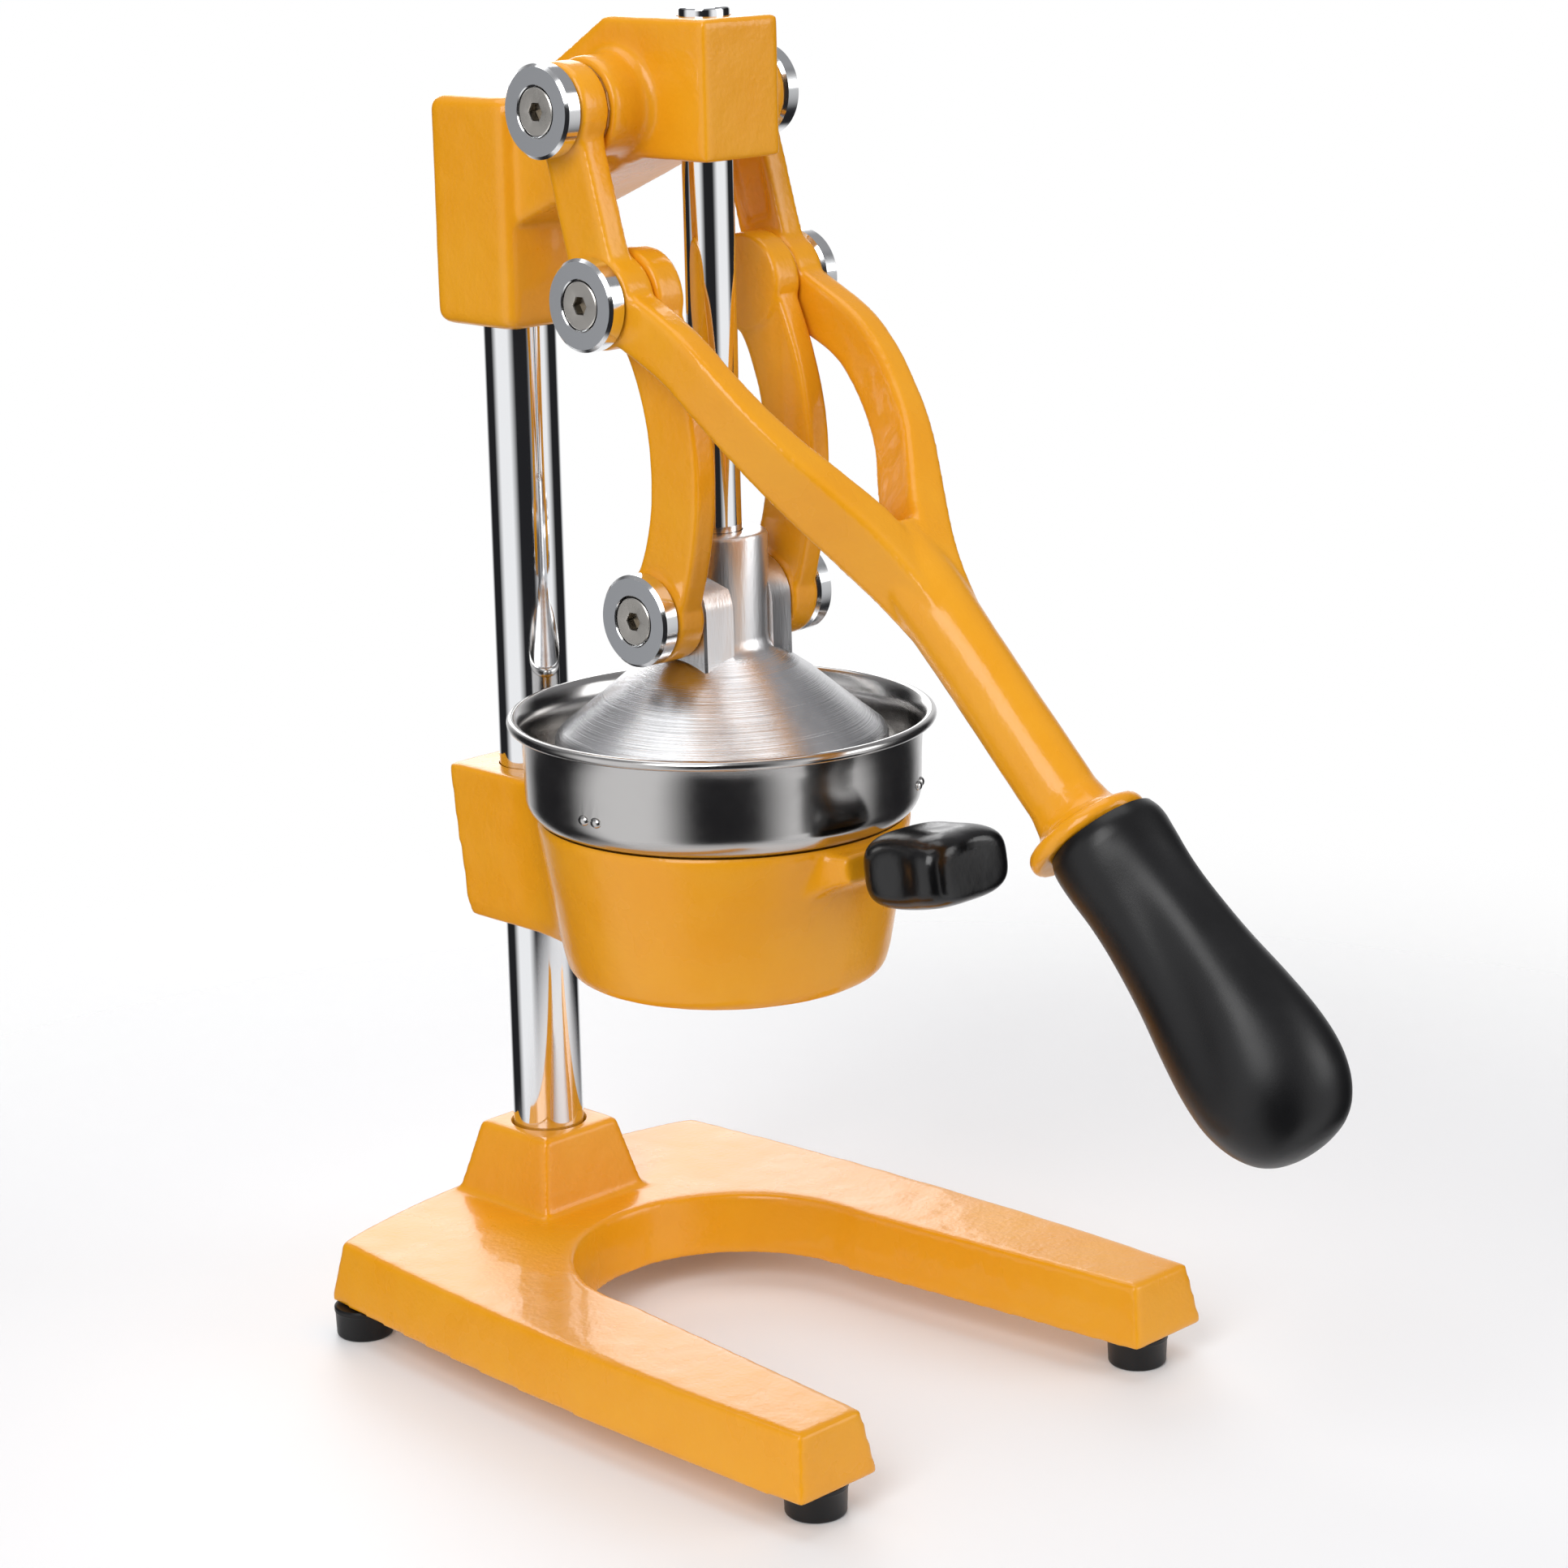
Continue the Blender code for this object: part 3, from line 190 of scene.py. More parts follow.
def arc(centre, radius, start, end, count):
    """Points on an arc, from one angle to another."""
    angles = [start + (end - start) * step / (count - 1) for step in range(count)]
    return [(centre[0] + radius * math.cos(a), centre[1] + radius * math.sin(a)) for a in angles]


def eased(points, share):
    """The value at a share of the way along a list of same-length tuples, on a smooth curve through them."""
    place = share * (len(points) - 1)
    start = min(int(place), len(points) - 2)
    t = place - start
    before, here, after, beyond = (
        points[max(0, min(len(points) - 1, start + offset))] for offset in (-1, 0, 1, 2)
    )
    blended = []
    for a, b, c, d in zip(before, here, after, beyond):
        blended.append(
            0.5 * (2 * b + (c - a) * t + (2 * a - 5 * b + 4 * c - d) * t**2 + (3 * b - 3 * c + d - a) * t**3)
        )
    return tuple(blended)


def held(share):
    return max(0.0, min(1.0, share))


def smooth_path(points, count):
    return [eased(points, step / (count - 1)) for step in range(count)]


def rounded_section(half_across, half_up, corner, steps=4):
    """Points round a rectangle with round corners, as (across, up)."""
    points = []
    for turn, across, up in ((0, 1, 1), (1, -1, 1), (2, -1, -1), (3, 1, -1)):
        centre = (across * (half_across - corner), up * (half_up - corner))
        points += arc(centre, corner, turn * math.pi / 2, (turn + 1) * math.pi / 2, steps)
    return points


class Solids:
    """Closed solids collected in one mesh. Where they overlap, they become one."""

    def __init__(self):
        self.builder = bmesh.new()

    def loft(self, rings, matrix=None):
        """A skin through rings that have equally many points, capped at both ends."""
        loops = [[self.builder.verts.new(point) for point in ring] for ring in rings]
        faces = [self.builder.faces.new(loops[0]), self.builder.faces.new(loops[-1])]
        for lower, upper in zip(loops, loops[1:]):
            for here in range(len(lower)):
                after = (here + 1) % len(lower)
                corners = (lower[here], lower[after], upper[after], upper[here])
                faces.append(self.builder.faces.new(corners))
        bmesh.ops.recalc_face_normals(self.builder, faces=faces)
        if matrix is not None:
            bmesh.ops.transform(self.builder, matrix=matrix, verts=[vert for loop in loops for vert in loop])

    def turn(self, profile, matrix=None, steps=96):
        """A solid of revolution round Z through (radius, height) points, flat at both ends."""
        self.loft([round_ring(radius, height, steps) for radius, height in profile], matrix)

    def rod(self, radius, bottom, top, matrix=None, steps=64):
        self.turn(((radius, top), (radius, bottom)), matrix, steps)

    def rounded_block(self, low, high, corner, matrix=None):
        """A box with all its edges rounded."""
        (x0, y0, z0), (x1, y1, z1) = low, high
        levels = arc((0, z0 + corner), corner, -math.pi / 2, 0, 6)
        levels += arc((0, z1 - corner), corner, 0, math.pi / 2, 6)
        rings = []
        for reach, height in levels:
            pull = corner - reach
            section = rounded_section((x1 - x0) / 2 - pull, (y1 - y0) / 2 - pull, corner, 8)
            rings.append([((x0 + x1) / 2 + x, (y0 + y1) / 2 + y, height) for x, y in section])
        self.loft(rings, matrix)

    def made(self, name):
        mesh = bpy.data.meshes.new(name)
        self.builder.to_mesh(mesh)
        self.builder.free()
        return new_object(name, mesh)


def circle(steps):
    """Angles of equal steps round a circle."""
    return [2 * math.pi * step / steps for step in range(steps)]


def round_ring(radius, height, steps):
    return [(radius * math.cos(a), radius * math.sin(a), height) for a in circle(steps)]


def sideways(sign, level=None):
    """Turns a piece drawn along +Z to run outwards along X, at a pivot of the given level."""
    at = PIVOTS[level] if level else Vector()
    return Matrix.Translation((0, at.y, at.z)) @ Matrix.Rotation(sign * math.pi / 2, 4, "Y")


def new_object(name, data):
    thing = bpy.data.objects.new(name, data)
    bpy.context.scene.collection.objects.link(thing)
    return thing


def plain(thing, name, crease):
    """The evaluated object as a plain mesh, smooth up to a crease angle, with the source removed."""
    bpy.context.view_layer.update()
    graph = bpy.context.evaluated_depsgraph_get()
    mesh = bpy.data.meshes.new_from_object(thing.evaluated_get(graph))
    bpy.data.objects.remove(thing)
    mesh.name = name
    mesh.shade_smooth()
    mesh.set_sharp_from_angle(angle=crease)
    return new_object(name, mesh)


def combine(thing, other, operation):
    modifier = thing.modifiers.new(operation.lower(), "BOOLEAN")
    modifier.operation = operation
    modifier.solver = "EXACT"
    modifier.object = other


def resolve(thing, step):
    modifier = thing.modifiers.new("resolved", "REMESH")
    modifier.mode = "VOXEL"
    modifier.voxel_size = step


def cast(name, solids, bores, step, passes, pockets=None):
    """One casting from overlapping solids, resolved in steps, rounded in passes and slightly uneven.

    Its bores are machined afterwards, so they stay true and sharp.
    """
    step *= sizes().casting_step
    casting = solids.made(name + "_rough")
    resolve(casting, step)
    helpers = [bores.made(name + "_bores")]
    if pockets:
        helpers.append(pockets.made(name + "_pockets"))
        combine(casting, helpers[-1], "DIFFERENCE")
        resolve(casting, step)
    rounding = casting.modifiers.new("rounded", "SMOOTH")
    rounding.factor = 0.5
    rounding.iterations = passes
    ripple = casting.modifiers.new("ripple", "DISPLACE")
    ripple.texture = sand_texture()
    ripple.texture_coords = "LOCAL"
    ripple.strength = sizes().casting_ripple
    ripple.mid_level = 0.5
    combine(casting, helpers[0], "DIFFERENCE")
    casting = plain(casting, name, CAST_CREASE)
    for helper in helpers:
        bpy.data.objects.remove(helper)
    return casting


@made_once("textures", "sand_casting")
def sand_texture(name):
    texture = bpy.data.textures.new(name, "CLOUDS")
    texture.noise_scale = 10 * MM
    texture.noise_depth = 1
    return texture


def set_screw_holes(bores, casting):
    """Two holes from behind, one over the other, that stop a millimetre short of the post's bore."""
    inner = POST_Y + span_of("post").y / 2 + 1.4 * MM
    for level in ("upper", "lower"):
        at = middle_of(f"{casting}_set_screw_{level}")
        place = Matrix.Translation((at.x, 0, at.z)) @ Matrix.Rotation(-math.pi / 2, 4, "X")
        bores.rod(SET_SCREW_BORE, inner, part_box(casting)[1].y + THROUGH, place)


def settle(piece, body, slot, material, *nodes):
    """Gives a finished piece its material and its body, and hides the nodes that it stands for. The slot is
    not used.
    """
    piece.data.materials.clear()
    piece.data.materials.append(material)
    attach(piece, body)
    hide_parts(*nodes)


# --- Node trees -----------------------------------------------------------------------------------


def put(tree, kind, inputs=None, **settings):
    """Adds a node, with its settings, and its inputs given as values or as sockets to link."""
    node = tree.nodes.new(kind)
    for name, value in settings.items():
        setattr(node, name, value)
    for key, value in (inputs or {}).items():
        if isinstance(value, bpy.types.NodeSocket):
            tree.links.new(value, node.inputs[key])
        else:
            node.inputs[key].default_value = value
    return node


def new_tree(name, kind, inputs, outputs):
    """A node group with named inputs and outputs, as (name, socket type, default)."""
    tree = bpy.data.node_groups.new(name, kind)
    for in_out, rows in (("INPUT", inputs), ("OUTPUT", outputs)):
        for label, socket, default in rows:
            made = tree.interface.new_socket(label, in_out=in_out, socket_type=socket)
            if default is not None:
                made.default_value = default
    return tree, tree.nodes.new("NodeGroupInput"), tree.nodes.new("NodeGroupOutput")


def maths(tree, operation, *values):
    node = put(tree, "ShaderNodeMath", dict(enumerate(values)), operation=operation)
    return node.outputs[0]


def whole(tree, operation, *values):
    node = put(tree, "FunctionNodeIntegerMath", dict(enumerate(values)), operation=operation)
    return node.outputs[0]


def close_tree(tree, geometry, given, result):
    """Ends a geometry tree: instances made real, in the material that it is given."""
    real = put(tree, "GeometryNodeRealizeInstances", {"Geometry": geometry})
    values = {"Geometry": real.outputs[0], "Material": given.outputs["Material"]}
    finish = put(tree, "GeometryNodeSetMaterial", values)
    tree.links.new(finish.outputs[0], result.inputs[0])


def run_tree(thing, tree, values):
    """Puts a geometry tree on an object, with its named inputs set by their identifiers."""
    modifier = thing.modifiers.new(tree.name, "NODES")
    modifier.node_group = tree
    for item in tree.interface.items_tree:
        if item.item_type == "SOCKET" and item.in_out == "INPUT" and item.name in values:
            modifier[item.identifier] = values[item.name]


@made_once("node_groups", "turned_piece")
def turning_tree(name):
    """Turns a row of profile points into a closed surface of revolution round Z."""
    tree, given, result = new_tree(
        name, "GeometryNodeTree",
        [("Profile", "NodeSocketGeometry", None), ("Segments", "NodeSocketInt", 96),
         ("Material", "NodeSocketMaterial", None)],
        [("Geometry", "NodeSocketGeometry", None)],
    )
    profile, segments = given.outputs["Profile"], given.outputs["Segments"]
    count = put(tree, "GeometryNodeAttributeDomainSize", {0: profile}).outputs["Point Count"]
    rows = whole(tree, "ADD", segments, 1)
    grid = put(tree, "GeometryNodeMeshGrid", {"Vertices X": count, "Vertices Y": rows})
    index = put(tree, "GeometryNodeInputIndex").outputs[0]
    column = whole(tree, "DIVIDE_FLOOR", index, rows)
    row = whole(tree, "MODULO", index, rows)
    position = put(tree, "GeometryNodeInputPosition").outputs[0]
    sample = put(
        tree, "GeometryNodeSampleIndex", {"Geometry": profile, "Index": column}, data_type="FLOAT_VECTOR")
    tree.links.new(position, sample.inputs["Value"])
    angle = maths(tree, "MULTIPLY", maths(tree, "DIVIDE", row, segments), 2 * math.pi)
    spun = put(
        tree, "ShaderNodeVectorRotate", {"Vector": sample.outputs[0], "Angle": angle}, rotation_type="Z_AXIS")
    placed = put(tree, "GeometryNodeSetPosition", {"Geometry": grid.outputs[0], "Position": spun.outputs[0]})
    merged = put(tree, "GeometryNodeMergeByDistance", {"Geometry": placed.outputs[0], "Distance": 0.01 * MM})
    close_tree(tree, merged.outputs[0], given, result)
    return tree


def turned(name, profile, material, matrix=None, segments=None):
    """A turned piece from (radius, height) points down its outer side. A ring repeats its first point."""
    mesh = bpy.data.meshes.new(name + "_profile")
    mesh.from_pydata([(radius, 0, height) for radius, height in profile], [], [])
    thing = new_object(name + "_profile", mesh)
    segments = segments or sizes().turned_segments
    run_tree(thing, turning_tree(), {"Segments": segments, "Material": material})
    piece = plain(thing, name, TURNED_CREASE)
    if matrix is not None:
        piece.data.transform(matrix)
    return piece


@made_once("node_groups", "seated_copies")
def copies_tree(name):
    """Puts a copy of one template on each seat, turned so that its +Z points along the seat's facing."""
    tree, given, result = new_tree(
        name, "GeometryNodeTree",
        [("Seats", "NodeSocketGeometry", None), ("Template", "NodeSocketObject", None),
         ("Material", "NodeSocketMaterial", None)],
        [("Geometry", "NodeSocketGeometry", None)],
    )
    facing = put(tree, "GeometryNodeInputNamedAttribute", {"Name": "facing"}, data_type="FLOAT_VECTOR")
    turn = put(tree, "FunctionNodeAlignRotationToVector", {"Vector": facing.outputs[0]}, axis="Z")
    template = put(tree, "GeometryNodeObjectInfo", {"Object": given.outputs["Template"]})
    copies = put(
        tree, "GeometryNodeInstanceOnPoints",
        {"Points": given.outputs["Seats"], "Instance": template.outputs["Geometry"],
         "Rotation": turn.outputs[0]},
    )
    close_tree(tree, copies.outputs[0], given, result)
    return tree


def seated(name, template, seats, material):
    """Copies of a template on (place, facing) seats, as one piece. The template is used up."""
    mesh = bpy.data.meshes.new(name + "_seats")
    mesh.from_pydata([place for place, _ in seats], [], [])
    facing = mesh.attributes.new("facing", "FLOAT_VECTOR", "POINT")
    for row, (_, direction) in zip(facing.data, seats):
        row.vector = direction
    thing = new_object(name + "_seats", mesh)
    run_tree(thing, copies_tree(), {"Template": template, "Material": material})
    piece = plain(thing, name, TURNED_CREASE)
    bpy.data.objects.remove(template)
    return piece


@made_once("node_groups", "drain_holes")
def drain_tree(name):
    """Rings of round holes through the floor of a cup."""
    tree, given, result = new_tree(
        name, "GeometryNodeTree",
        [("Cup", "NodeSocketGeometry", None), ("Holes", "NodeSocketInt", 28),
         ("Radius", "NodeSocketFloat", 0.0015),
         ("First Ring", "NodeSocketFloat", 0.035), ("Ring Step", "NodeSocketFloat", 0.0055),
         ("Floor", "NodeSocketVector", None), ("Material", "NodeSocketMaterial", None)],
        [("Geometry", "NodeSocketGeometry", None)],
    )
    radius = given.outputs["Radius"]
    punch = put(tree, "GeometryNodeMeshCylinder", {"Vertices": 16, "Radius": radius, "Depth": 6 * MM})
    joined = tree.nodes.new("GeometryNodeJoinGeometry")
    for ring in range(3):
        wider = maths(
            tree, "MULTIPLY_ADD", given.outputs["Ring Step"], float(ring), given.outputs["First Ring"])
        more = whole(tree, "ADD", given.outputs["Holes"], 4 * ring)
        places = put(tree, "GeometryNodeMeshCircle", {"Vertices": more, "Radius": wider})
        punches = put(
            tree, "GeometryNodeInstanceOnPoints",
            {"Points": places.outputs[0], "Instance": punch.outputs["Mesh"]})
        tree.links.new(punches.outputs[0], joined.inputs[0])
    real = put(tree, "GeometryNodeRealizeInstances", {"Geometry": joined.outputs[0]})
    lowered = put(
        tree, "GeometryNodeTransform", {"Geometry": real.outputs[0], "Translation": given.outputs["Floor"]})
    drilled = put(tree, "GeometryNodeMeshBoolean", operation="DIFFERENCE", solver="EXACT")
    tree.links.new(given.outputs["Cup"], drilled.inputs["Mesh 1"])
    tree.links.new(lowered.outputs[0], drilled.inputs["Mesh 2"])
    close_tree(tree, drilled.outputs["Mesh"], given, result)
    return tree


# --- Shader groups --------------------------------------------------------------------------------


def noise(tree, vector, scale, detail=2.0, roughness=0.5):
    inputs = {"Vector": vector, "Scale": scale, "Detail": detail, "Roughness": roughness}
    return put(tree, "ShaderNodeTexNoise", inputs).outputs[0]


def mix_colour(tree, mask, first, second):
    node = put(tree, "ShaderNodeMix", {0: mask}, data_type="RGBA")
    for socket, value in ((node.inputs[6], first), (node.inputs[7], second)):
        if isinstance(value, bpy.types.NodeSocket):
            tree.links.new(value, socket)
        else:
            socket.default_value = value
    return node.outputs[2]


def ranged(tree, value, low, high, from_low=0.0, from_high=1.0):
    """A value mapped from one range onto another, and held within it."""
    node = put(tree, "ShaderNodeMapRange", {0: value, 1: from_low, 2: from_high, 3: low, 4: high})
    return node.outputs[0]


@made_once("node_groups", "cast_skin")
def cast_skin_group(name):
    """Orange peel and slow ripples of a coat over sand-cast metal, as a height and a patchy mask."""
    tree, given, result = new_tree(
        name, "ShaderNodeTree",
        [("Vector", "NodeSocketVector", None), ("Ripple Scale", "NodeSocketFloat", 110.0),
         ("Peel Scale", "NodeSocketFloat", 650.0), ("Peel Share", "NodeSocketFloat", 0.38)],
        [("Height", "NodeSocketFloat", None), ("Patches", "NodeSocketFloat", None)],
    )
    slow = noise(tree, given.outputs["Vector"], given.outputs["Ripple Scale"], 2.0)
    fine = noise(tree, given.outputs["Vector"], given.outputs["Peel Scale"], 1.0)
    height = put(
        tree, "ShaderNodeMix", {0: given.outputs["Peel Share"], 2: slow, 3: fine}, data_type="FLOAT")
    patches = noise(tree, given.outputs["Vector"], 26.0, 4.0, 0.6)
    tree.links.new(height.outputs[0], result.inputs["Height"])
    tree.links.new(ranged(tree, patches, 0.0, 1.0, 0.35, 0.68), result.inputs["Patches"])
    return tree


@made_once("node_groups", "turning_marks")
def turning_marks_group(name):
    """Fine rings left by turning or spinning round Z, as a height, and a soft wear mask."""
    tree, given, result = new_tree(
        name, "ShaderNodeTree",
        [("Vector", "NodeSocketVector", None), ("Pitch", "NodeSocketFloat", 2600.0)],
        [("Height", "NodeSocketFloat", None), ("Wear", "NodeSocketFloat", None)],
    )
    parts = put(tree, "ShaderNodeSeparateXYZ", {0: given.outputs["Vector"]})
    flat = put(tree, "ShaderNodeCombineXYZ", {0: parts.outputs[0], 1: parts.outputs[1]})
    across = put(tree, "ShaderNodeVectorMath", {0: flat.outputs[0]}, operation="LENGTH")
    rings = put(tree, "ShaderNodeCombineXYZ", {0: across.outputs["Value"], 1: parts.outputs[2]})
    lines = noise(tree, rings.outputs[0], given.outputs["Pitch"], 3.0, 0.7)
    wear = noise(tree, given.outputs["Vector"], 60.0, 5.0, 0.65)
    tree.links.new(lines, result.inputs["Height"])
    tree.links.new(ranged(tree, wear, 0.0, 1.0, 0.3, 0.7), result.inputs["Wear"])
    return tree


def new_material(name, colour, roughness, metallic):
    material = bpy.data.materials.new(name)
    material.use_nodes = True
    tree = material.node_tree
    shader = tree.nodes["Principled BSDF"]
    shader.inputs["Base Color"].default_value = colour
    shader.inputs["Roughness"].default_value = roughness
    shader.inputs["Metallic"].default_value = metallic
    return material, tree, shader


def object_vector(tree, centre=None):
    """Object coordinates, moved so that a centre is the origin."""
    source = put(tree, "ShaderNodeTexCoord").outputs["Object"]
    if centre is None:
        return source
    mapping = put(tree, "ShaderNodeMapping", {"Vector": source, "Location": centre}, vector_type="TEXTURE")
    return mapping.outputs[0]


def add_bump(tree, shader, height, distance, strength):
    bump = put(tree, "ShaderNodeBump", {"Height": height, "Distance": distance, "Strength": strength})
    tree.links.new(bump.outputs[0], shader.inputs["Normal"])


def add_skin(tree, vector, **values):
    """The cast skin group on a vector, with its scales given by name."""
    inputs = {name.replace("_", " ").title(): value for name, value in values.items()}
    return put(tree, "ShaderNodeGroup", {"Vector": vector, **inputs}, node_tree=cast_skin_group()).outputs


def turned_metal(name, colour, smooth, worn, centre=None, pitch=2600.0):
    """A metal with turning marks round its Z axis, which is rougher where it is worn."""
    material, tree, shader = new_material(name, colour, smooth, 1.0)
    marks = put(tree, "ShaderNodeGroup", {"Pitch": pitch}, node_tree=turning_marks_group()).outputs
    tree.links.new(object_vector(tree, centre), marks["Wear"].node.inputs["Vector"])
    tree.links.new(ranged(tree, marks["Wear"], smooth, worn), shader.inputs["Roughness"])
    return material, tree, shader, marks


def brush_round(tree, shader, anisotropy):
    """Stretches reflections the way that marks round the Z axis do."""
    shader.inputs["Anisotropic"].default_value = anisotropy
    tangent = put(tree, "ShaderNodeTangent", direction_type="RADIAL", axis="Z")
    tree.links.new(tangent.outputs[0], shader.inputs["Tangent"])


@made_once("materials", "yellow_enamel_coat")
def enamel(name):
    material, tree, shader = new_material(name, finishes().enamel, 0.3, 0.0)
    skin = add_skin(tree, object_vector(tree))
    colour = mix_colour(tree, skin["Patches"], finishes().enamel, finishes().enamel_thin)
    tree.links.new(colour, shader.inputs["Base Color"])
    tree.links.new(ranged(tree, skin["Patches"], 0.24, 0.34), shader.inputs["Roughness"])
    shader.inputs["Coat Weight"].default_value = 0.25
    shader.inputs["Coat Roughness"].default_value = 0.05
    shader.inputs["Specular IOR Level"].default_value = 0.35
    add_bump(tree, shader, skin["Height"], 0.4 * MM, 0.6)
    return material


@made_once("materials", "polished_chrome")
def chrome(name):
    return turned_metal(name, finishes().chrome, 0.035, 0.085)[0]


@made_once("materials", "washer_chrome")
def washer_steel(name):
    """Polished round the edge, satin on the flat faces that look along X."""
    material, tree, shader = new_material(name, finishes().chrome, 0.1, 1.0)
    normal = put(tree, "ShaderNodeTexCoord").outputs["Normal"]
    along = put(tree, "ShaderNodeSeparateXYZ", {0: normal}).outputs[0]
    face = ranged(tree, maths(tree, "ABSOLUTE", along), 0.0, 1.0, 0.9, 0.99)
    tree.links.new(ranged(tree, face, 0.13, 0.36), shader.inputs["Roughness"])
    dull = (0.66, 0.68, 0.71, 1.0)
    tree.links.new(mix_colour(tree, face, finishes().chrome, dull), shader.inputs["Base Color"])
    return material


@made_once("materials", "nickel_plate")
def nickel(name):
    """Dull nickel, with painted shade that darkens the inside of a socket where a point attribute marks it.
    """
    material, tree, shader, marks = turned_metal(name, finishes().nickel, 0.20, 0.34)
    # Painted shade: the marked inside of the socket is mixed towards a dark brown-grey.
    socket_shade = put(tree, "ShaderNodeAttribute", attribute_name="socket_shade").outputs["Fac"]
    colour = mix_colour(tree, socket_shade, finishes().nickel, (0.20, 0.18, 0.15, 1.0))
    tree.links.new(colour, shader.inputs["Base Color"])
    add_bump(tree, shader, marks["Wear"], 0.05 * MM, 0.4)
    return material


@made_once("materials", "cast_aluminium_turned")
def aluminium(name):
    """Rough sand-cast grain above the cone, and fine turning marks on the cone."""
    material, tree, shader = new_material(name, finishes().aluminium, 0.3, 1.0)
    vector = object_vector(tree, (0.0, RAM_Y, 0.0))
    marks = put(tree, "ShaderNodeGroup", {"Vector": vector}, node_tree=turning_marks_group())
    drawn = put(tree, "ShaderNodeMapping", {"Vector": vector, "Scale": (1.0, 1.0, 0.14)}).outputs[0]
    skin = add_skin(tree, drawn, ripple_scale=420.0, peel_scale=1500.0, peel_share=0.5)
    up = put(tree, "ShaderNodeSeparateXYZ", {0: vector}).outputs[2]
    stem = ranged(tree, up, 0.0, 1.0, 212 * MM, 219 * MM)
    tree.links.new(ranged(tree, stem, 0.21, 0.30), shader.inputs["Roughness"])
    grain = {0: stem, 2: marks.outputs["Height"], 3: skin["Height"]}
    height = put(tree, "ShaderNodeMix", grain, data_type="FLOAT")
    grey = mix_colour(tree, skin["Patches"], finishes().aluminium, (0.60, 0.60, 0.61, 1.0))
    tree.links.new(grey, shader.inputs["Base Color"])
    add_bump(tree, shader, height.outputs[0], 0.16 * MM, 0.6)
    brush_round(tree, shader, 0.6)
    return material


@made_once("materials", "spun_stainless")
def stainless(name):
    material, tree, shader, marks = turned_metal(
        name, finishes().stainless, 0.15, 0.22, centre=(0.0, RAM_Y, 0.0), pitch=1500.0)
    add_bump(tree, shader, marks["Height"], 0.012 * MM, 0.5)
    brush_round(tree, shader, 0.35)
    return material


@made_once("materials", "satin_rubber")
def rubber(name):
    material, tree, shader = new_material(name, finishes().rubber, 0.36, 0.0)
    shader.inputs["Specular IOR Level"].default_value = 0.38
    skin = add_skin(tree, object_vector(tree), ripple_scale=900.0, peel_scale=3200.0, peel_share=0.5)
    tree.links.new(ranged(tree, skin["Patches"], 0.30, 0.42), shader.inputs["Roughness"])
    colour = mix_colour(tree, skin["Patches"], finishes().rubber, (0.006, 0.006, 0.007, 1.0))
    tree.links.new(colour, shader.inputs["Base Color"])
    add_bump(tree, shader, skin["Height"], 0.06 * MM, 0.5)
    return material


@made_once("materials", "dipped_vinyl")
def vinyl(name):
    material, tree, shader = new_material(name, finishes().rubber, 0.22, 0.0)
    skin = add_skin(tree, object_vector(tree), ripple_scale=160.0, peel_scale=1200.0, peel_share=0.12)
    tree.links.new(ranged(tree, skin["Patches"], 0.16, 0.28), shader.inputs["Roughness"])
    add_bump(tree, shader, skin["Height"], 0.4 * MM, 0.5)
    return material


@made_once("materials", "bearing_bronze")
def bronze(name):
    return turned_metal(name, (0.46, 0.30, 0.14, 1.0), 0.32, 0.48)[0]


@made_once("materials", "zinc_plated_steel")
def zinc(name):
    return turned_metal(name, (0.50, 0.50, 0.52, 1.0), 0.30, 0.50)[0]


# --- Base -----------------------------------------------------------------------------------------

BASE_DRAFT = 3.4 * MM
BASE_REAR_ARC = 245.0 * MM
BASE_SIDE_X = 83.7 * MM
BASE_SIDE_WIDEST_Y = -60.0 * MM
BASE_SIDE_ARC = 1370.0 * MM
BASE_INNER_RADIUS = 49.0 * MM
BASE_INNER_SPLAY = math.radians(5.4)
BASE_TOP = 29.0 * MM
BOSS_HALF_BOTTOM = 20.4 * MM
BOSS_HALF_TOP = 15.4 * MM
BOSS_FILLET = 2.6 * MM


def base_half(grow):
    """Right half of the base's plan from the front of the leg round to the rear, grown by a draft."""
    low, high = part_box("base")
    front = low.y - RAM_Y + BASE_DRAFT - grow
    rear = high.y - RAM_Y - BASE_DRAFT
    inner = BASE_INNER_RADIUS - grow
    splay = math.tan(BASE_INNER_SPLAY)
    tangent = (inner * math.cos(BASE_INNER_SPLAY), -inner * math.sin(BASE_INNER_SPLAY))
    inside = arc((0, 0), inner, math.pi / 2, -BASE_INNER_SPLAY, 40)
    inside.append((tangent[0] + (tangent[1] - front) * splay, front))
    outside = []
    for step in range(41):
        y = front + (rear - 12 * MM + grow - front) * step / 40
        outside.append((BASE_SIDE_X + grow - (y - BASE_SIDE_WIDEST_Y) ** 2 / (2 * BASE_SIDE_ARC), y))
    corner = []
    for step in range(24):
        x = (outside[-1][0] - 5 * MM) * (1 - step / 24)
        corner.append((x, rear + grow - x * x / (2 * BASE_REAR_ARC)))
    return inside[1:] + outside + corner


def base_plan(grow, height):
    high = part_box("base")[1]
    right = base_half(grow)
    left = [(-x, y) for x, y in reversed(right)]
    rear_middle = (0, high.y - RAM_Y - BASE_DRAFT + grow)
    inner_middle = (0, BASE_INNER_RADIUS - grow)
    return [(x, y, height) for x, y in right + [rear_middle] + left + [inner_middle]]


def square(half, height):
    return [(-half, -half, height), (half, -half, height), (half, half, height), (-half, half, height)]


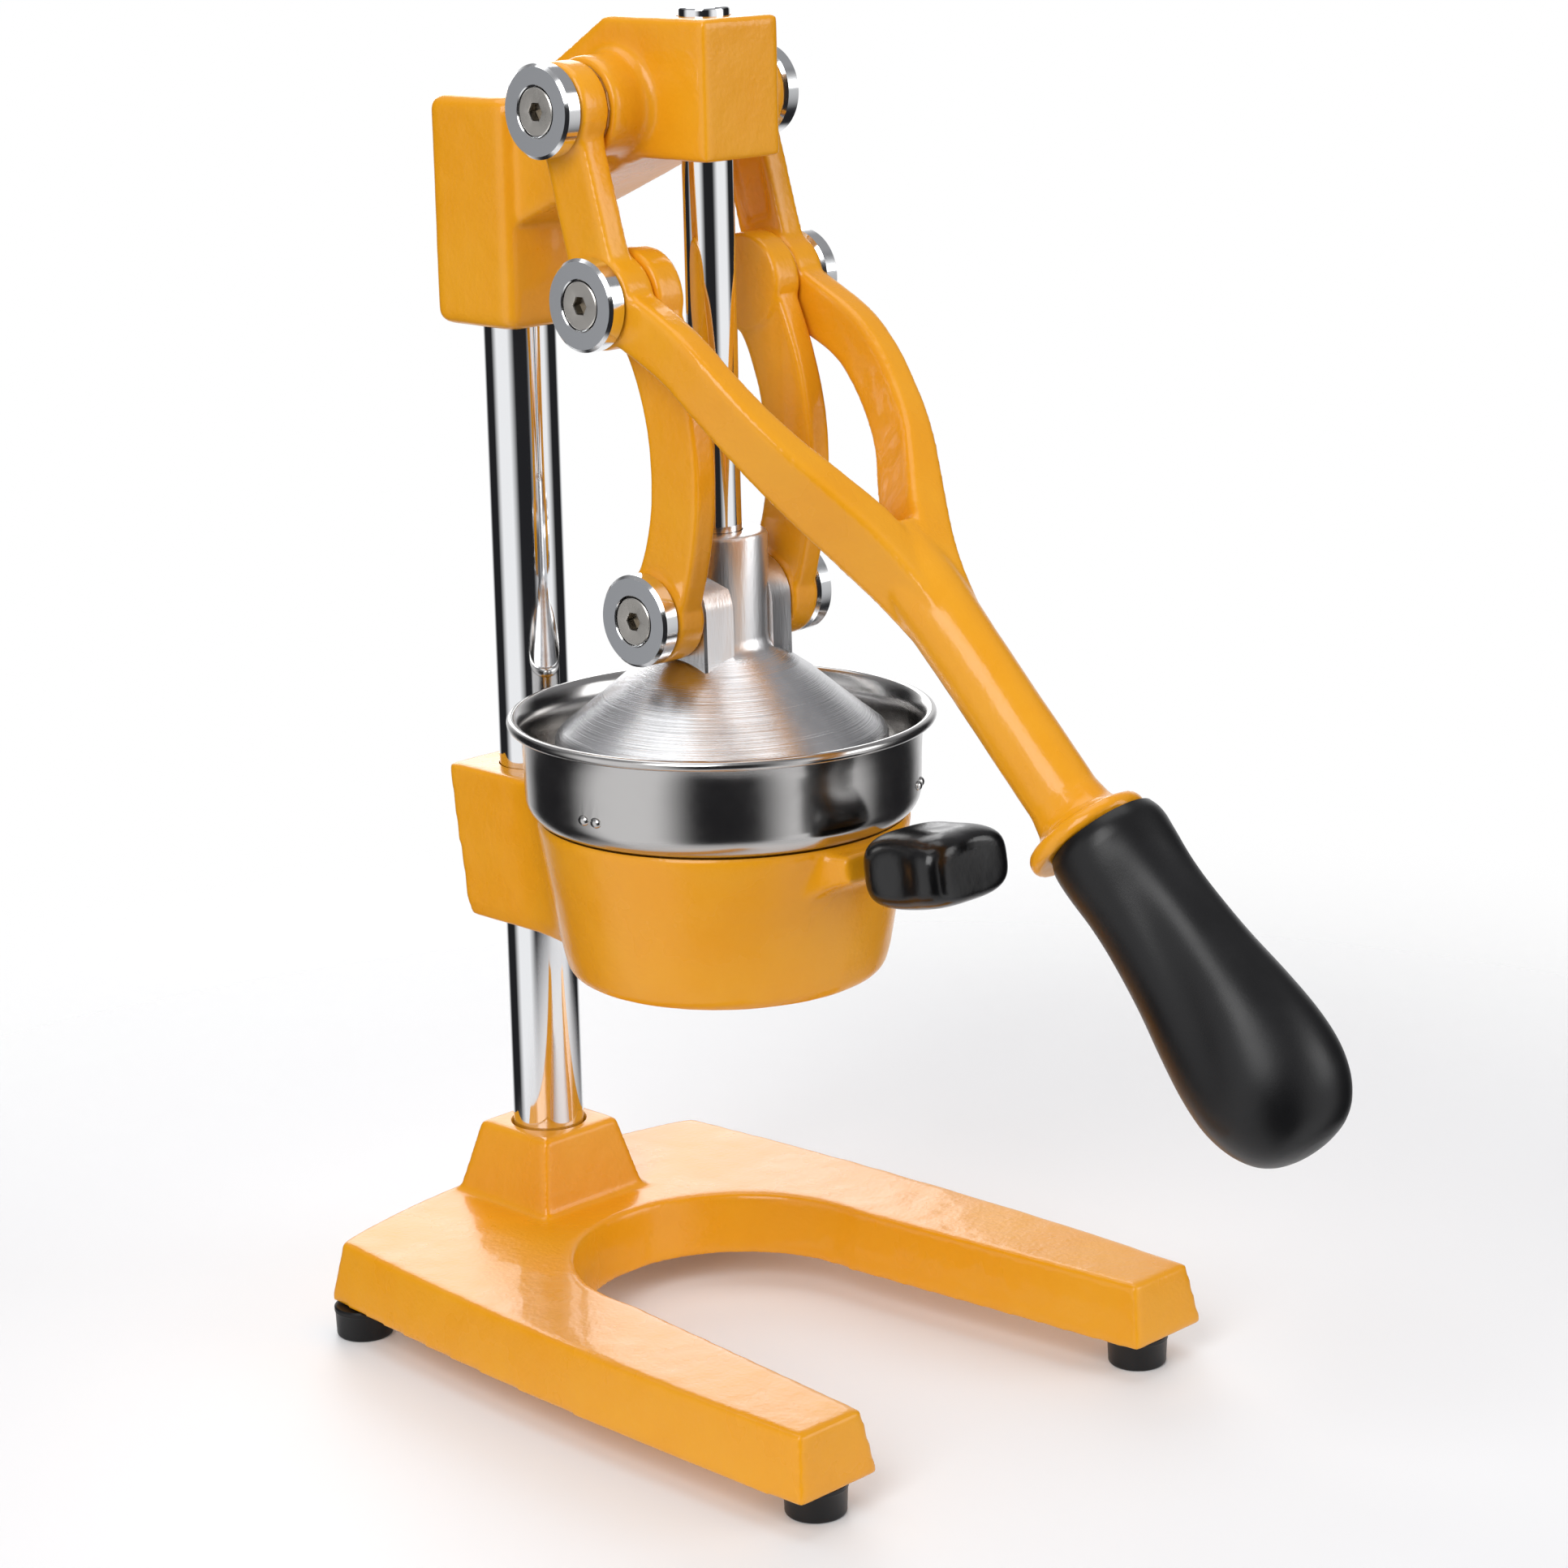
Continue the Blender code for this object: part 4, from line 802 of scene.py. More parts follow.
class CITRUSPRESS_OT_base(bpy.types.Operator):
    """Cast the forked base with the boss that holds the post"""

    bl_idname = "citrus_press.base"
    bl_label = "Base"

    def execute(self, context):
        low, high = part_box("base")
        solids = Solids()
        solids.loft((base_plan(BASE_DRAFT, low.z), base_plan(0, BASE_TOP)), RAM_PLACE)
        fillet = (BOSS_HALF_BOTTOM + BOSS_FILLET, BASE_TOP + BOSS_FILLET)
        boss = [(fillet[0], low.z + 4 * MM)]
        boss += arc(fillet, BOSS_FILLET, -math.pi / 2, -math.pi, 6)
        boss += [(BOSS_HALF_TOP, high.z)]
        solids.loft([square(half, height) for half, height in boss], POST_PLACE)
        mouth, seat = POST_BORE + 0.65 * MM, BASE_TOP - 7 * MM
        pocket_radius, pocket_top = 11 * MM, low.z + 8 * MM
        bores = Solids()
        bores.turn((
            (mouth, high.z + THROUGH), (mouth, high.z + 0.1 * MM), (POST_BORE, high.z - 0.7 * MM),
            (POST_BORE, seat), (THREAD_BORE, seat), (THREAD_BORE, pocket_top),
            (pocket_radius, pocket_top), (pocket_radius, low.z - THROUGH),
        ), POST_PLACE)
        base = cast("base_casting", solids, bores, step=0.95 * MM, passes=14)
        settle(base, "frame", "yellow_enamel", enamel(), "base")
        return {"FINISHED"}


# --- Head -----------------------------------------------------------------------------------------


class CITRUSPRESS_OT_head(bpy.types.Operator):
    """Cast the head: a block on the post, an arm over the ram and two pivot bosses"""

    bl_idname = "citrus_press.head"
    bl_label = "Head"

    def execute(self, context):
        low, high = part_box("head")
        rear = high.y - RAM_Y
        block_front, block_top, block_half = rear - 34.8 * MM, 374.7 * MM, 18.5 * MM
        arm_half, arm_bottom, front = 15.1 * MM, 359.7 * MM, low.y - RAM_Y
        side = (
            (front, arm_bottom), (front, high.z), (26 * MM, high.z), (67 * MM, block_top - 0.4 * MM),
            (78 * MM, block_top - 0.4 * MM), (78 * MM, 332 * MM), (block_front, 337.5 * MM),
            (14 * MM, arm_bottom),
        )
        solids = Solids()
        solids.loft([[(x, y, z) for y, z in side] for x in (-arm_half, arm_half)], RAM_PLACE)
        solids.rounded_block(
            (-block_half, block_front, low.z), (block_half, rear, block_top), 3.6 * MM, RAM_PLACE)
        face, radius = high.x, 14.5 * MM
        boss = (
            (radius - 0.6 * MM, face), (radius, face - 0.6 * MM), (radius, arm_half + 3.2 * MM),
            (radius + 1.0 * MM, arm_half + 1.0 * MM), (radius + 3.0 * MM, arm_half - 0.4 * MM),
            (radius + 3.0 * MM, arm_half - 2 * MM),
        )
        bores = Solids()
        for _, sign in SIDES:
            solids.turn(boss, sideways(sign, "upper"))
            bores.rod(THREAD_BORE, face - 11.4 * MM, face + THROUGH, sideways(sign, "upper"))
        bores.rod(POST_BORE, low.z - THROUGH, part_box("post")[1].z + 0.3 * MM, POST_PLACE)
        bush = span_of("rod_bush").x / 2 + 0.3 * MM
        guide = span_of("ram_rod").x / 2 + 0.5 * MM
        lip = high.z - 2.2 * MM
        bores.turn((
            (guide, high.z + THROUGH), (guide, lip), (bush, lip), (bush, arm_bottom - THROUGH)), RAM_PLACE)
        set_screw_holes(bores, "head")
        head = cast("head_casting", solids, bores, step=0.9 * MM, passes=14)
        settle(head, "frame", "yellow_enamel", enamel(), "head")
        return {"FINISHED"}


# --- Cup holder -----------------------------------------------------------------------------------

HOLDER_TOP = 168.5 * MM
HOLDER_WALL = 5.0 * MM
CUP_RADIUS = 58.4 * MM
CUP_CORNER = 8.0 * MM
TAB_TILT = math.radians(9.0)
TAB_ROOT = (-50.0 * MM, 160.8 * MM)


def tab_point(along, across, up):
    """A place on the tab, from its root, across it and up from its middle, in the row frame."""
    y = RAM_Y + TAB_ROOT[0] - along * math.cos(TAB_TILT) + up * math.sin(TAB_TILT)
    z = TAB_ROOT[1] + along * math.sin(TAB_TILT) + up * math.cos(TAB_TILT)
    return (across, y, z)


def tab_rings(stations, steps=4):
    """Rings of the tab or its cap, as (along, half width, half thickness, corner)."""
    rings = []
    for along, half_x, half_z, corner in stations:
        section = rounded_section(half_x, half_z, corner, steps)
        rings.append([tab_point(along, across, up) for across, up in section])
    return rings


def bezier(points, count):
    """Points along a cubic curve between the first and last of four control points."""
    steps = [step / (count - 1) for step in range(count)]
    shares = [((1 - t) ** 3, 3 * t * (1 - t) ** 2, 3 * t * t * (1 - t), t**3) for t in steps]
    return [
        tuple(sum(share * point[axis] for share, point in zip(row, points)) for axis in (0, 1))
        for row in shares]


def holder_neck(reach, narrow, pull, height):
    """One level of the neck: from the block's rear corners round onto the side of a bowl of that radius."""
    half, rear, front = 19.2 * MM - narrow, 103.4 * MM - pull, 74 * MM
    touch, ease = math.radians(44), 15 * MM
    end = (reach * math.sin(touch), reach * math.cos(touch))
    before = (end[0] - ease * math.cos(touch), end[1] + ease * math.sin(touch))
    flank = bezier([(half, front), (half, front - ease), before, end], 24)
    right = [(half - 0.3 * MM, rear), *flank]
    return [(x, y, height) for x, y in right + [(-x, y) for x, y in reversed(right)]]


class CITRUSPRESS_OT_holder(bpy.types.Operator):
    """Cast the round cup holder with its neck, its clamp block and its tab"""

    bl_idname = "citrus_press.holder"
    bl_label = "Cup Holder"

    def execute(self, context):
        low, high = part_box("cup_holder")
        top_radius, bottom_radius = high.x, 47.6 * MM
        bowl = [
            (top_radius - 1.2 * MM, HOLDER_TOP), (top_radius, HOLDER_TOP - 1.4 * MM), (53.0 * MM, 152 * MM),
            (bottom_radius + 1.0 * MM, low.z + 7 * MM),
            *arc((bottom_radius - 4.6 * MM, low.z + 5 * MM), 5 * MM, 0, -math.pi / 2, 8),
        ]
        solids = Solids()
        solids.turn(bowl, RAM_PLACE, 160)
        solids.loft((
            holder_neck(43.5 * MM, 2.8 * MM, 5.6 * MM, low.z + 0.3 * MM),
            holder_neck(bottom_radius + 0.4 * MM, 1.6 * MM, 4.6 * MM, low.z + 5 * MM),
            holder_neck(top_radius - 0.3 * MM, 0, 0, HOLDER_TOP + 0.4 * MM),
        ), RAM_PLACE)
        root = (
            (-2 * MM, 20 * MM, 8.5 * MM, 3 * MM), (3 * MM, 15.5 * MM, 6.2 * MM, 2.4 * MM),
            (7 * MM, 13.2 * MM, 4.8 * MM, 2 * MM), (12 * MM, 12 * MM, 4.2 * MM, 2 * MM),
        )
        solids.loft(tab_rings(smooth_path(root, 12)))
        cup_floor, play, floor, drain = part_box("strainer_cup")[0].z, 0.4 * MM, low.z + 6 * MM, 9 * MM
        seat = arc((CUP_RADIUS - CUP_CORNER, cup_floor + CUP_CORNER), CUP_CORNER + play, 0, -math.pi / 2, 12)
        inside = [
            (seat[0][0], HOLDER_TOP + 12 * MM), *seat, (46 * MM, cup_floor - play), (45 * MM, 158 * MM),
            (bottom_radius - HOLDER_WALL, floor + 5 * MM), (36 * MM, floor), (drain, floor),
            (drain, low.z - THROUGH),
        ]
        bores = Solids()
        bores.turn(inside, RAM_PLACE, 160)
        bores.rod(POST_BORE, low.z - THROUGH, high.z + THROUGH, POST_PLACE)
        set_screw_holes(bores, "cup_holder")
        holder = cast("cup_holder_casting", solids, bores, step=0.9 * MM, passes=14)
        settle(holder, "frame", "yellow_enamel", enamel(), "cup_holder")
        return {"FINISHED"}


def squarer(value):
    """A sine or cosine pushed outwards, which makes a circle into a round-cornered square."""
    return math.copysign(abs(value) ** 0.62, value)


class CITRUSPRESS_OT_tab_cap(bpy.types.Operator):
    """Dip the holder's tab in a soft vinyl cap"""

    bl_idname = "citrus_press.tab_cap"
    bl_label = "Tab Cap"

    def execute(self, context):
        half_x = span_of("tab_cap").x / 2 + 0.9 * MM
        half_z, start, end = 11.8 * MM, 19.8 * MM, 50.0 * MM
        middle, reach = (start + end) / 2, (end - start) / 2
        rings = []
        for angle in [math.pi * (step / 44 - 0.5) for step in range(1, 45)]:
            along = middle + reach * math.sin(angle)
            share = (along - start) / (end - start)
            close = abs(math.cos(angle)) ** 0.27
            wide = half_x * close * (1 - 0.10 * math.sin(math.pi * share) ** 2 + 0.02 * share)
            tall = half_z * close * (0.96 + 0.04 * math.cos(3 * share))
            rings.append([
                tab_point(along, wide * squarer(math.cos(a)), tall * squarer(math.sin(a)))
                for a in circle(96)])
        solids = Solids()
        solids.loft(rings[:-1])
        cap = solids.made("tab_cap_rough")
        bores = Solids()
        inside = (12.8 * MM, 4.7 * MM, 2 * MM)
        bores.loft(tab_rings(((start - THROUGH, *inside), (44.3 * MM, *inside))))
        hollow = bores.made("tab_cap_hollow")
        dents = (
            (Vector(tab_point(end, 1 * MM, 3 * MM)), 5.5 * MM, 1.5 * MM),
            (Vector(tab_point(start + 14 * MM, 4 * MM, half_z)), 7 * MM, 1.2 * MM),
            (Vector(tab_point(start + 17 * MM, -half_x, 1 * MM)), 6.5 * MM, 1.3 * MM),
            (Vector(tab_point(start + 9 * MM, half_x, -1 * MM)), 7 * MM, 1.0 * MM),
        )
        core = Vector(tab_point(middle, 0, 0))
        for vert in cap.data.vertices:
            for centre, reach, depth in dents:
                near = math.exp(-((vert.co - centre).length / reach) ** 2)
                vert.co += (core - vert.co).normalized() * depth * near
        combine(cap, hollow, "DIFFERENCE")
        cap = plain(cap, "tab_cap_vinyl", MOULDED_CREASE)
        bpy.data.objects.remove(hollow)
        settle(cap, "frame", "black_rubber", vinyl(), "tab_cap")
        return {"FINISHED"}


# --- Lever and grip -------------------------------------------------------------------------------

COLLAR_AT = 246.0 * MM
COLLAR_THICKNESS = 4.5 * MM
COLLAR_RADIUS = 17.8 * MM
CROTCH = 146.0 * MM
FORK_CORNER = 1.6 * MM
FORK_STEPS = 48
LEVER_EYE = 13.6 * MM
EYE_ROUND = 0.8 * MM
GRIP_OFFSET = 4.6 * MM
GRIP_LENGTH = 102.1 * MM
HOLLOW_DEPTH = 0.105
HOLLOW_WIDTH = 0.34
SEAM_DEPTH = 0.010
SEAM_WIDTH = 0.018
SEAM_ANGLE = math.radians(-52)


def in_lever(point):
    """A place in the row frame, as a place in the lever's own flat frame."""
    return LEVER_PLACE.inverted() @ Vector((0, point.y, point.z))


def swept(solids, stations, sign):
    """A bar with a rounded rectangular section through (x, along, up, half width, half height) stations."""
    path = smooth_path(stations, FORK_STEPS)
    centres = [Vector((sign * x, -along, up)) * MM for x, along, up, _, _ in path]
    rings = []
    for order, (_, _, _, half_across, half_up) in enumerate(path):
        before, after = centres[max(order - 1, 0)], centres[min(order + 1, len(centres) - 1)]
        forward = (after - before).normalized()
        across = forward.cross(Vector((0, 0, 1))).normalized()
        upward = across.cross(forward)
        section = rounded_section(half_across * MM, half_up * MM, FORK_CORNER, 3)
        rings.append([centres[order] + across * a + upward * u for a, u in section])
    solids.loft(rings, LEVER_PLACE)


def eye_on(solids, face_in, face_out, radius, matrix):
    profile = (
        (radius - EYE_ROUND, face_out), (radius, face_out - EYE_ROUND),
        (radius, face_in + EYE_ROUND), (radius - EYE_ROUND, face_in),
    )
    solids.turn(profile, matrix, 72)


class CITRUSPRESS_OT_lever(bpy.types.Operator):
    """Cast the forked lever with its four eyes, its shaft and its collar"""

    bl_idname = "citrus_press.lever"
    bl_label = "Lever"

    def execute(self, context):
        middle = in_lever(PIVOTS["middle"])
        solids, pockets, bores = Solids(), Solids(), Solids()
        fork = (
            (33.8, -middle.y / MM, middle.z / MM, 5.0, 8.4), (33.9, 64.0, -20.5, 4.9, 8.2),
            (34.2, 79.0, -15.6, 4.8, 8.0), (33.0, 92.0, -14.4, 4.8, 8.0), (29.6, 106.0, -14.4, 4.9, 8.2),
            (25.2, 118.0, -14.8, 5.2, 8.6), (17.8, 132.0, -15.8, 5.8, 9.2), (10.4, 146.0, -16.9, 6.2, 9.4),
            (5.6, 162.0, -17.6, 5.4, 8.6), (3.4, 182.0, -17.7, 4.2, 7.2),
        )
        end = COLLAR_AT + COLLAR_THICKNESS
        shaft = (
            (CROTCH, 10.5 * MM, 9.2 * MM), (CROTCH + 18 * MM, 11.4 * MM, 10.4 * MM),
            (CROTCH + 40 * MM, 10.2 * MM, 10.4 * MM), (COLLAR_AT - 10 * MM, 10.2 * MM, 10.4 * MM),
            (COLLAR_AT - 3 * MM, 11.4 * MM, 11.6 * MM), (COLLAR_AT - 1.0 * MM, 13.8 * MM, 13.8 * MM),
            (COLLAR_AT - 0.2 * MM, COLLAR_RADIUS - 0.9 * MM, COLLAR_RADIUS - 0.6 * MM),
            (COLLAR_AT + 1.6 * MM, COLLAR_RADIUS, COLLAR_RADIUS),
            (end - 1.2 * MM, COLLAR_RADIUS, COLLAR_RADIUS),
            (end, COLLAR_RADIUS - 0.8 * MM, COLLAR_RADIUS - 0.8 * MM),
        )
        rings = []
        for along, half_x, half_z in shaft:
            rings.append([
                (half_x * math.cos(a), -along, half_z * math.sin(a) - SHAFT_DROP) for a in circle(48)])
        solids.loft(rings, LEVER_PLACE)
        direction = middle.normalized()
        for _, sign in SIDES:
            swept(solids, fork, sign)
            self.neck(solids, pockets, direction, sign)
            for level in ("upper", "middle"):
                low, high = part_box(f"{level}_pivot_sleeve_right")
                eye_on(solids, low.x, high.x, LEVER_EYE, sideways(sign, level))
                bores.rod(EYE_BORE, low.x - THROUGH, high.x + THROUGH, sideways(sign, level))
        lever = cast("lever_casting", solids, bores, step=0.85 * MM, passes=4, pockets=pockets)
        settle(lever, "lever", "yellow_enamel", enamel(), "lever_yoke")
        return {"FINISHED"}

    def neck(self, solids, pockets, direction, sign):
        """The bar between the two eyes, with a shallow channel along its inner face."""
        across = direction.cross(Vector((1, 0, 0)))
        for target, centre_x, half_x, stations in (
            (solids, 34.6, 4.4, ((2, 10), (14, 8.8), (40, 9), (54, 10))),
            (pockets, 30.0, 1.6, ((17, 4.6), (21, 5.8), (33, 5.8), (38, 4.6))),
        ):
            rings = []
            for along, half in stations:
                centre = direction * along * MM + Vector((sign * centre_x * MM, 0, 0))
                section = rounded_section(half_x * MM, half * MM, 1.2 * MM, 3)
                rings.append([centre + across * up + Vector((side, 0, 0)) for side, up in section])
            target.loft(rings, LEVER_PLACE)


def ridge(angle, centre, width):
    """One at an angle round the grip, falling to nothing on both sides of it."""
    away = math.atan2(math.sin(angle - centre), math.cos(angle - centre))
    return math.exp(-(away / width) ** 2)


def on_side(angle, sign):
    """An angle on the right side of the grip, or its mirror image on the left."""
    return angle if sign > 0 else math.pi - angle


class CITRUSPRESS_OT_grip(bpy.types.Operator):
    """Mould the pear-shaped rubber grip with its finger hollows and its parting line"""

    bl_idname = "citrus_press.grip"
    bl_label = "Grip"

    def execute(self, context):
        start = COLLAR_AT + COLLAR_THICKNESS + 0.3 * MM
        outline = (
            (0.0, 15.8, 15.8), (0.035, 17.0, 16.9), (0.10, 17.0, 17.1), (0.20, 16.0, 16.9),
            (0.30, 15.6, 17.6), (0.44, 16.4, 19.2), (0.58, 18.4, 21.4), (0.70, 20.0, 22.6),
            (0.80, 20.3, 22.2), (0.88, 18.6, 20.0), (0.94, 15.2, 16.4), (0.975, 11.2, 12.0),
            (0.993, 6.4, 7.0), (1.0, 2.0, 2.2),
        )
        rings = []
        for share, half_x, half_z in smooth_path(outline, 150):
            share = held(share)
            swell = math.sin(math.pi * held((share - 0.06) / 0.8)) ** 0.8
            hollow = math.radians(42 - 50 * share)
            ring = []
            for angle in circle(120):
                reach = 1.0
                for sign in (1, -1):
                    reach -= HOLLOW_DEPTH * swell * ridge(angle, on_side(hollow, sign), HOLLOW_WIDTH)
                    reach -= SEAM_DEPTH * ridge(angle, on_side(SEAM_ANGLE, sign), SEAM_WIDTH)
                ring.append((
                    half_x * MM * reach * math.cos(angle), -(start + GRIP_LENGTH * share),
                    half_z * MM * reach * math.sin(angle) + GRIP_OFFSET - SHAFT_DROP))
            rings.append(ring)
        solids = Solids()
        solids.loft(rings, LEVER_PLACE)
        grip = plain(solids.made("grip_rough"), "grip_moulding", MOULDED_CREASE)
        settle(grip, "lever", "black_rubber", rubber(), "grip")
        return {"FINISHED"}


# --- Links ----------------------------------------------------------------------------------------


class CITRUSPRESS_OT_links(bpy.types.Operator):
    """Cast the two bowed links between the lever and the presser"""

    bl_idname = "citrus_press.links"
    bl_label = "Links"

    def execute(self, context):
        for side, sign in SIDES:
            low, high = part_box("link_" + side)
            inner, outer = sorted((abs(low.x), abs(high.x)))
            solids, bores = Solids(), Solids()
            self.band(solids, sign * (inner + outer) / 2)
            eye_on(solids, inner, outer, 14.5 * MM, sideways(sign, "middle"))
            eye_on(solids, inner, outer, 13.4 * MM, sideways(sign, "lower"))
            bores.rod(THREAD_BORE, inner + 3 * MM, outer + THROUGH, sideways(sign, "middle"))
            bores.rod(EYE_BORE, inner - THROUGH, outer + THROUGH, sideways(sign, "lower"))
            link = cast(f"link_{side}_casting", solids, bores, step=0.7 * MM, passes=4)
            settle(link, "link_" + side, "yellow_enamel", enamel(), "link_" + side)
        return {"FINISHED"}

    def band(self, solids, centre_x):
        """The bar between the eyes, bowed towards the user on one arc."""
        bow, half_width = 13.5 * MM, 9.6 * MM
        foot = Vector((0, PIVOTS["lower"].y, PIVOTS["lower"].z))
        rise = Vector((0, PIVOTS["middle"].y, PIVOTS["middle"].z)) - foot
        upward = rise.normalized()
        forward = Vector((0, -upward.z, upward.y))
        half_chord = rise.length / 2
        radius = (half_chord**2 + bow**2) / (2 * bow)
        reach = math.asin(half_chord / radius) * 0.96
        rings = []
        for step in range(41):
            angle = reach * (step / 20 - 1)
            out = radius * math.cos(angle) - (radius - bow)
            centre = foot + upward * (half_chord + radius * math.sin(angle)) + forward * out
            outward = forward * math.cos(angle) + upward * math.sin(angle)
            flare = 1 + 0.22 * abs(step / 20 - 1) ** 6
            section = rounded_section(4.2 * MM, half_width * flare, 1.2 * MM, 3)
            rings.append([centre + outward * up + Vector((centre_x + side, 0, 0)) for side, up in section])
        solids.loft(rings)


# --- Bars, presser, cup and reamer ----------------------------------------------------------------


class CITRUSPRESS_OT_bars(bpy.types.Operator):
    """Turn the plated post and the plated ram rod"""

    bl_idname = "citrus_press.bars"
    bl_label = "Post and Rod"

    def execute(self, context):
        for name, node, body, place in (
            ("post_bar", "post", "frame", POST_PLACE), ("ram_bar", "ram_rod", "ram", RAM_PLACE)):
            low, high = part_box(node)
            radius, edge = (high.x - low.x) / 2, 1.0 * MM
            profile = [
                (0, high.z), *arc((radius - edge, high.z - edge), edge, math.pi / 2, 0, 6),
                *arc((radius - edge, low.z + edge), edge, 0, -math.pi / 2, 6), (0, low.z),
            ]
            bar = turned(name, profile, chrome(), place)
            settle(bar, body, "chrome", chrome(), node)
        return {"FINISHED"}


class CITRUSPRESS_OT_presser(bpy.types.Operator):
    """Cast and turn the presser: a stem with two ears over a hollow cone"""

    bl_idname = "citrus_press.presser"
    bl_label = "Presser"

    def execute(self, context):
        low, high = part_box("presser")
        stem, rim, wall = 14.7 * MM, high.x, 3.2 * MM
        outside = [
            (0, high.z), (stem - 1.4 * MM, high.z), (stem - 0.4 * MM, high.z - 0.4 * MM),
            (stem, high.z - 1.4 * MM), (stem, 222 * MM), (15.2 * MM, 219.6 * MM), (16.6 * MM, 217.4 * MM),
            (20 * MM, 215 * MM), (28 * MM, 209.4 * MM), (37 * MM, 201.8 * MM), (46.4 * MM, 194.2 * MM),
            (48.2 * MM, 192.8 * MM), (rim, 191 * MM), (rim, low.z),
        ]
        inside = [
            (rim - wall, low.z), (rim - wall, 188.6 * MM), (36 * MM, 196.8 * MM), (27 * MM, 204.8 * MM),
            (19 * MM, 211 * MM), (9 * MM, 217 * MM), (0, 217 * MM),
        ]
        presser = turned("presser_turned", outside + inside, aluminium(), RAM_PLACE, 144)
        presser.data.transform(RAM_PLACE.inverted())
        ears = Solids()
        pivot = PIVOTS["lower"]
        for _, sign in SIDES:
            faces = []
            for x, grow in ((8.0, 1.6), (13.0, 0.5), (17.2, 0.0), (17.9, -0.7)):
                half = 12.5 * MM + grow * MM
                top = arc((0, pivot.z), half, 0, math.pi, 33)
                outline = [(half + 0.4 * MM, 198 * MM)] + top + [(-half - 0.4 * MM, 198 * MM)]
                faces.append([(sign * x * MM, y, z) for y, z in outline])
            ears.loft(faces)
        helper = ears.made("presser_ears")
        combine(presser, helper, "UNION")
        bores = Solids()
        hollow = [(radius, height) for radius, height in inside if radius > 0]
        bores.turn([(rim - wall, low.z - THROUGH), *hollow[1:]][::-1], None, 144)
        bores.rod(span_of("ram_rod").x / 2 + 0.3 * MM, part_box("ram_rod")[0].z - 0.3 * MM, high.z + 4 * MM)
        for _, sign in SIDES:
            bores.rod(THREAD_BORE, 9.4 * MM, 22 * MM, Matrix.Translation((0, 0, pivot.z)) @ sideways(sign))
        cutter = bores.made("presser_bores")
        combine(presser, cutter, "DIFFERENCE")
        presser = plain(presser, "presser_casting", MACHINED_CREASE)
        presser.data.transform(RAM_PLACE)
        for thing in (helper, cutter):
            bpy.data.objects.remove(thing)
        settle(presser, "ram", "cast_aluminium", aluminium(), "presser")
        return {"FINISHED"}


class CITRUSPRESS_OT_cup(bpy.types.Operator):
    """Spin the steel cup with its rolled rim, and drill its drain holes"""

    bl_idname = "citrus_press.cup"
    bl_label = "Strainer Cup"

    def execute(self, context):
        low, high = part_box("strainer_cup")
        rim, wall, roll = high.x, 1.0 * MM, 1.55 * MM
        radius, corner = CUP_RADIUS, CUP_CORNER
        seat_centre = (radius - corner, low.z + corner)
        profile = [
            (0, low.z + wall), *arc(seat_centre, corner - wall, -math.pi / 2, 0, 10),
            (radius - wall + 0.25 * MM, 186 * MM), (radius - wall + 0.5 * MM, 191 * MM),
            (radius - wall + 1.0 * MM, 194.2 * MM), (radius - wall + 2.2 * MM, 196.6 * MM),
            *arc((rim - roll, high.z - roll), roll, math.pi * 0.75, -math.pi * 0.85, 16),
            (radius + 1.1 * MM, 193.6 * MM), (radius + 0.5 * MM, 190.5 * MM), (radius + 0.25 * MM, 186 * MM),
            *arc(seat_centre, corner, 0, -math.pi / 2, 10), (0, low.z),
        ]
        cup = turned("cup_spun", profile, stainless())
        nibs = Solids()
        for turn in range(3):
            angle = math.radians(-175) + turn * 2 * math.pi / 3
            outward = Vector((math.cos(angle), math.sin(angle), 0))
            along = Vector((-outward.y, outward.x, 0))
            for offset in (-2.3 * MM, 2.3 * MM):
                rings = []
                for step in range(9):
                    lift = math.pi / 2 * step / 8
                    centre = outward * (radius - 0.6 * MM + 1.7 * MM * math.sin(lift)) + along * offset
                    centre.z = 177 * MM
                    reach = 2.1 * MM * max(math.cos(lift), 0.02)
                    rings.append([
                        centre + along * (reach * math.cos(a)) + Vector((0, 0, reach * 0.8 * math.sin(a)))
                        for a in circle(20)])
                nibs.loft(rings)
        pressed = nibs.made("cup_nibs")
        combine(cup, pressed, "UNION")
        run_tree(cup, drain_tree(), {
            "Holes": sizes().drain_holes, "Radius": sizes().drain_hole, "First Ring": 36 * MM,
            "Ring Step": 5.2 * MM, "Floor": (0.0, 0.0, low.z), "Material": stainless()})
        cup = plain(cup, "strainer_cup_spun", MACHINED_CREASE)
        cup.data.transform(RAM_PLACE)
        bpy.data.objects.remove(pressed)
        settle(cup, "cup", "stainless", stainless(), "strainer_cup")
        return {"FINISHED"}


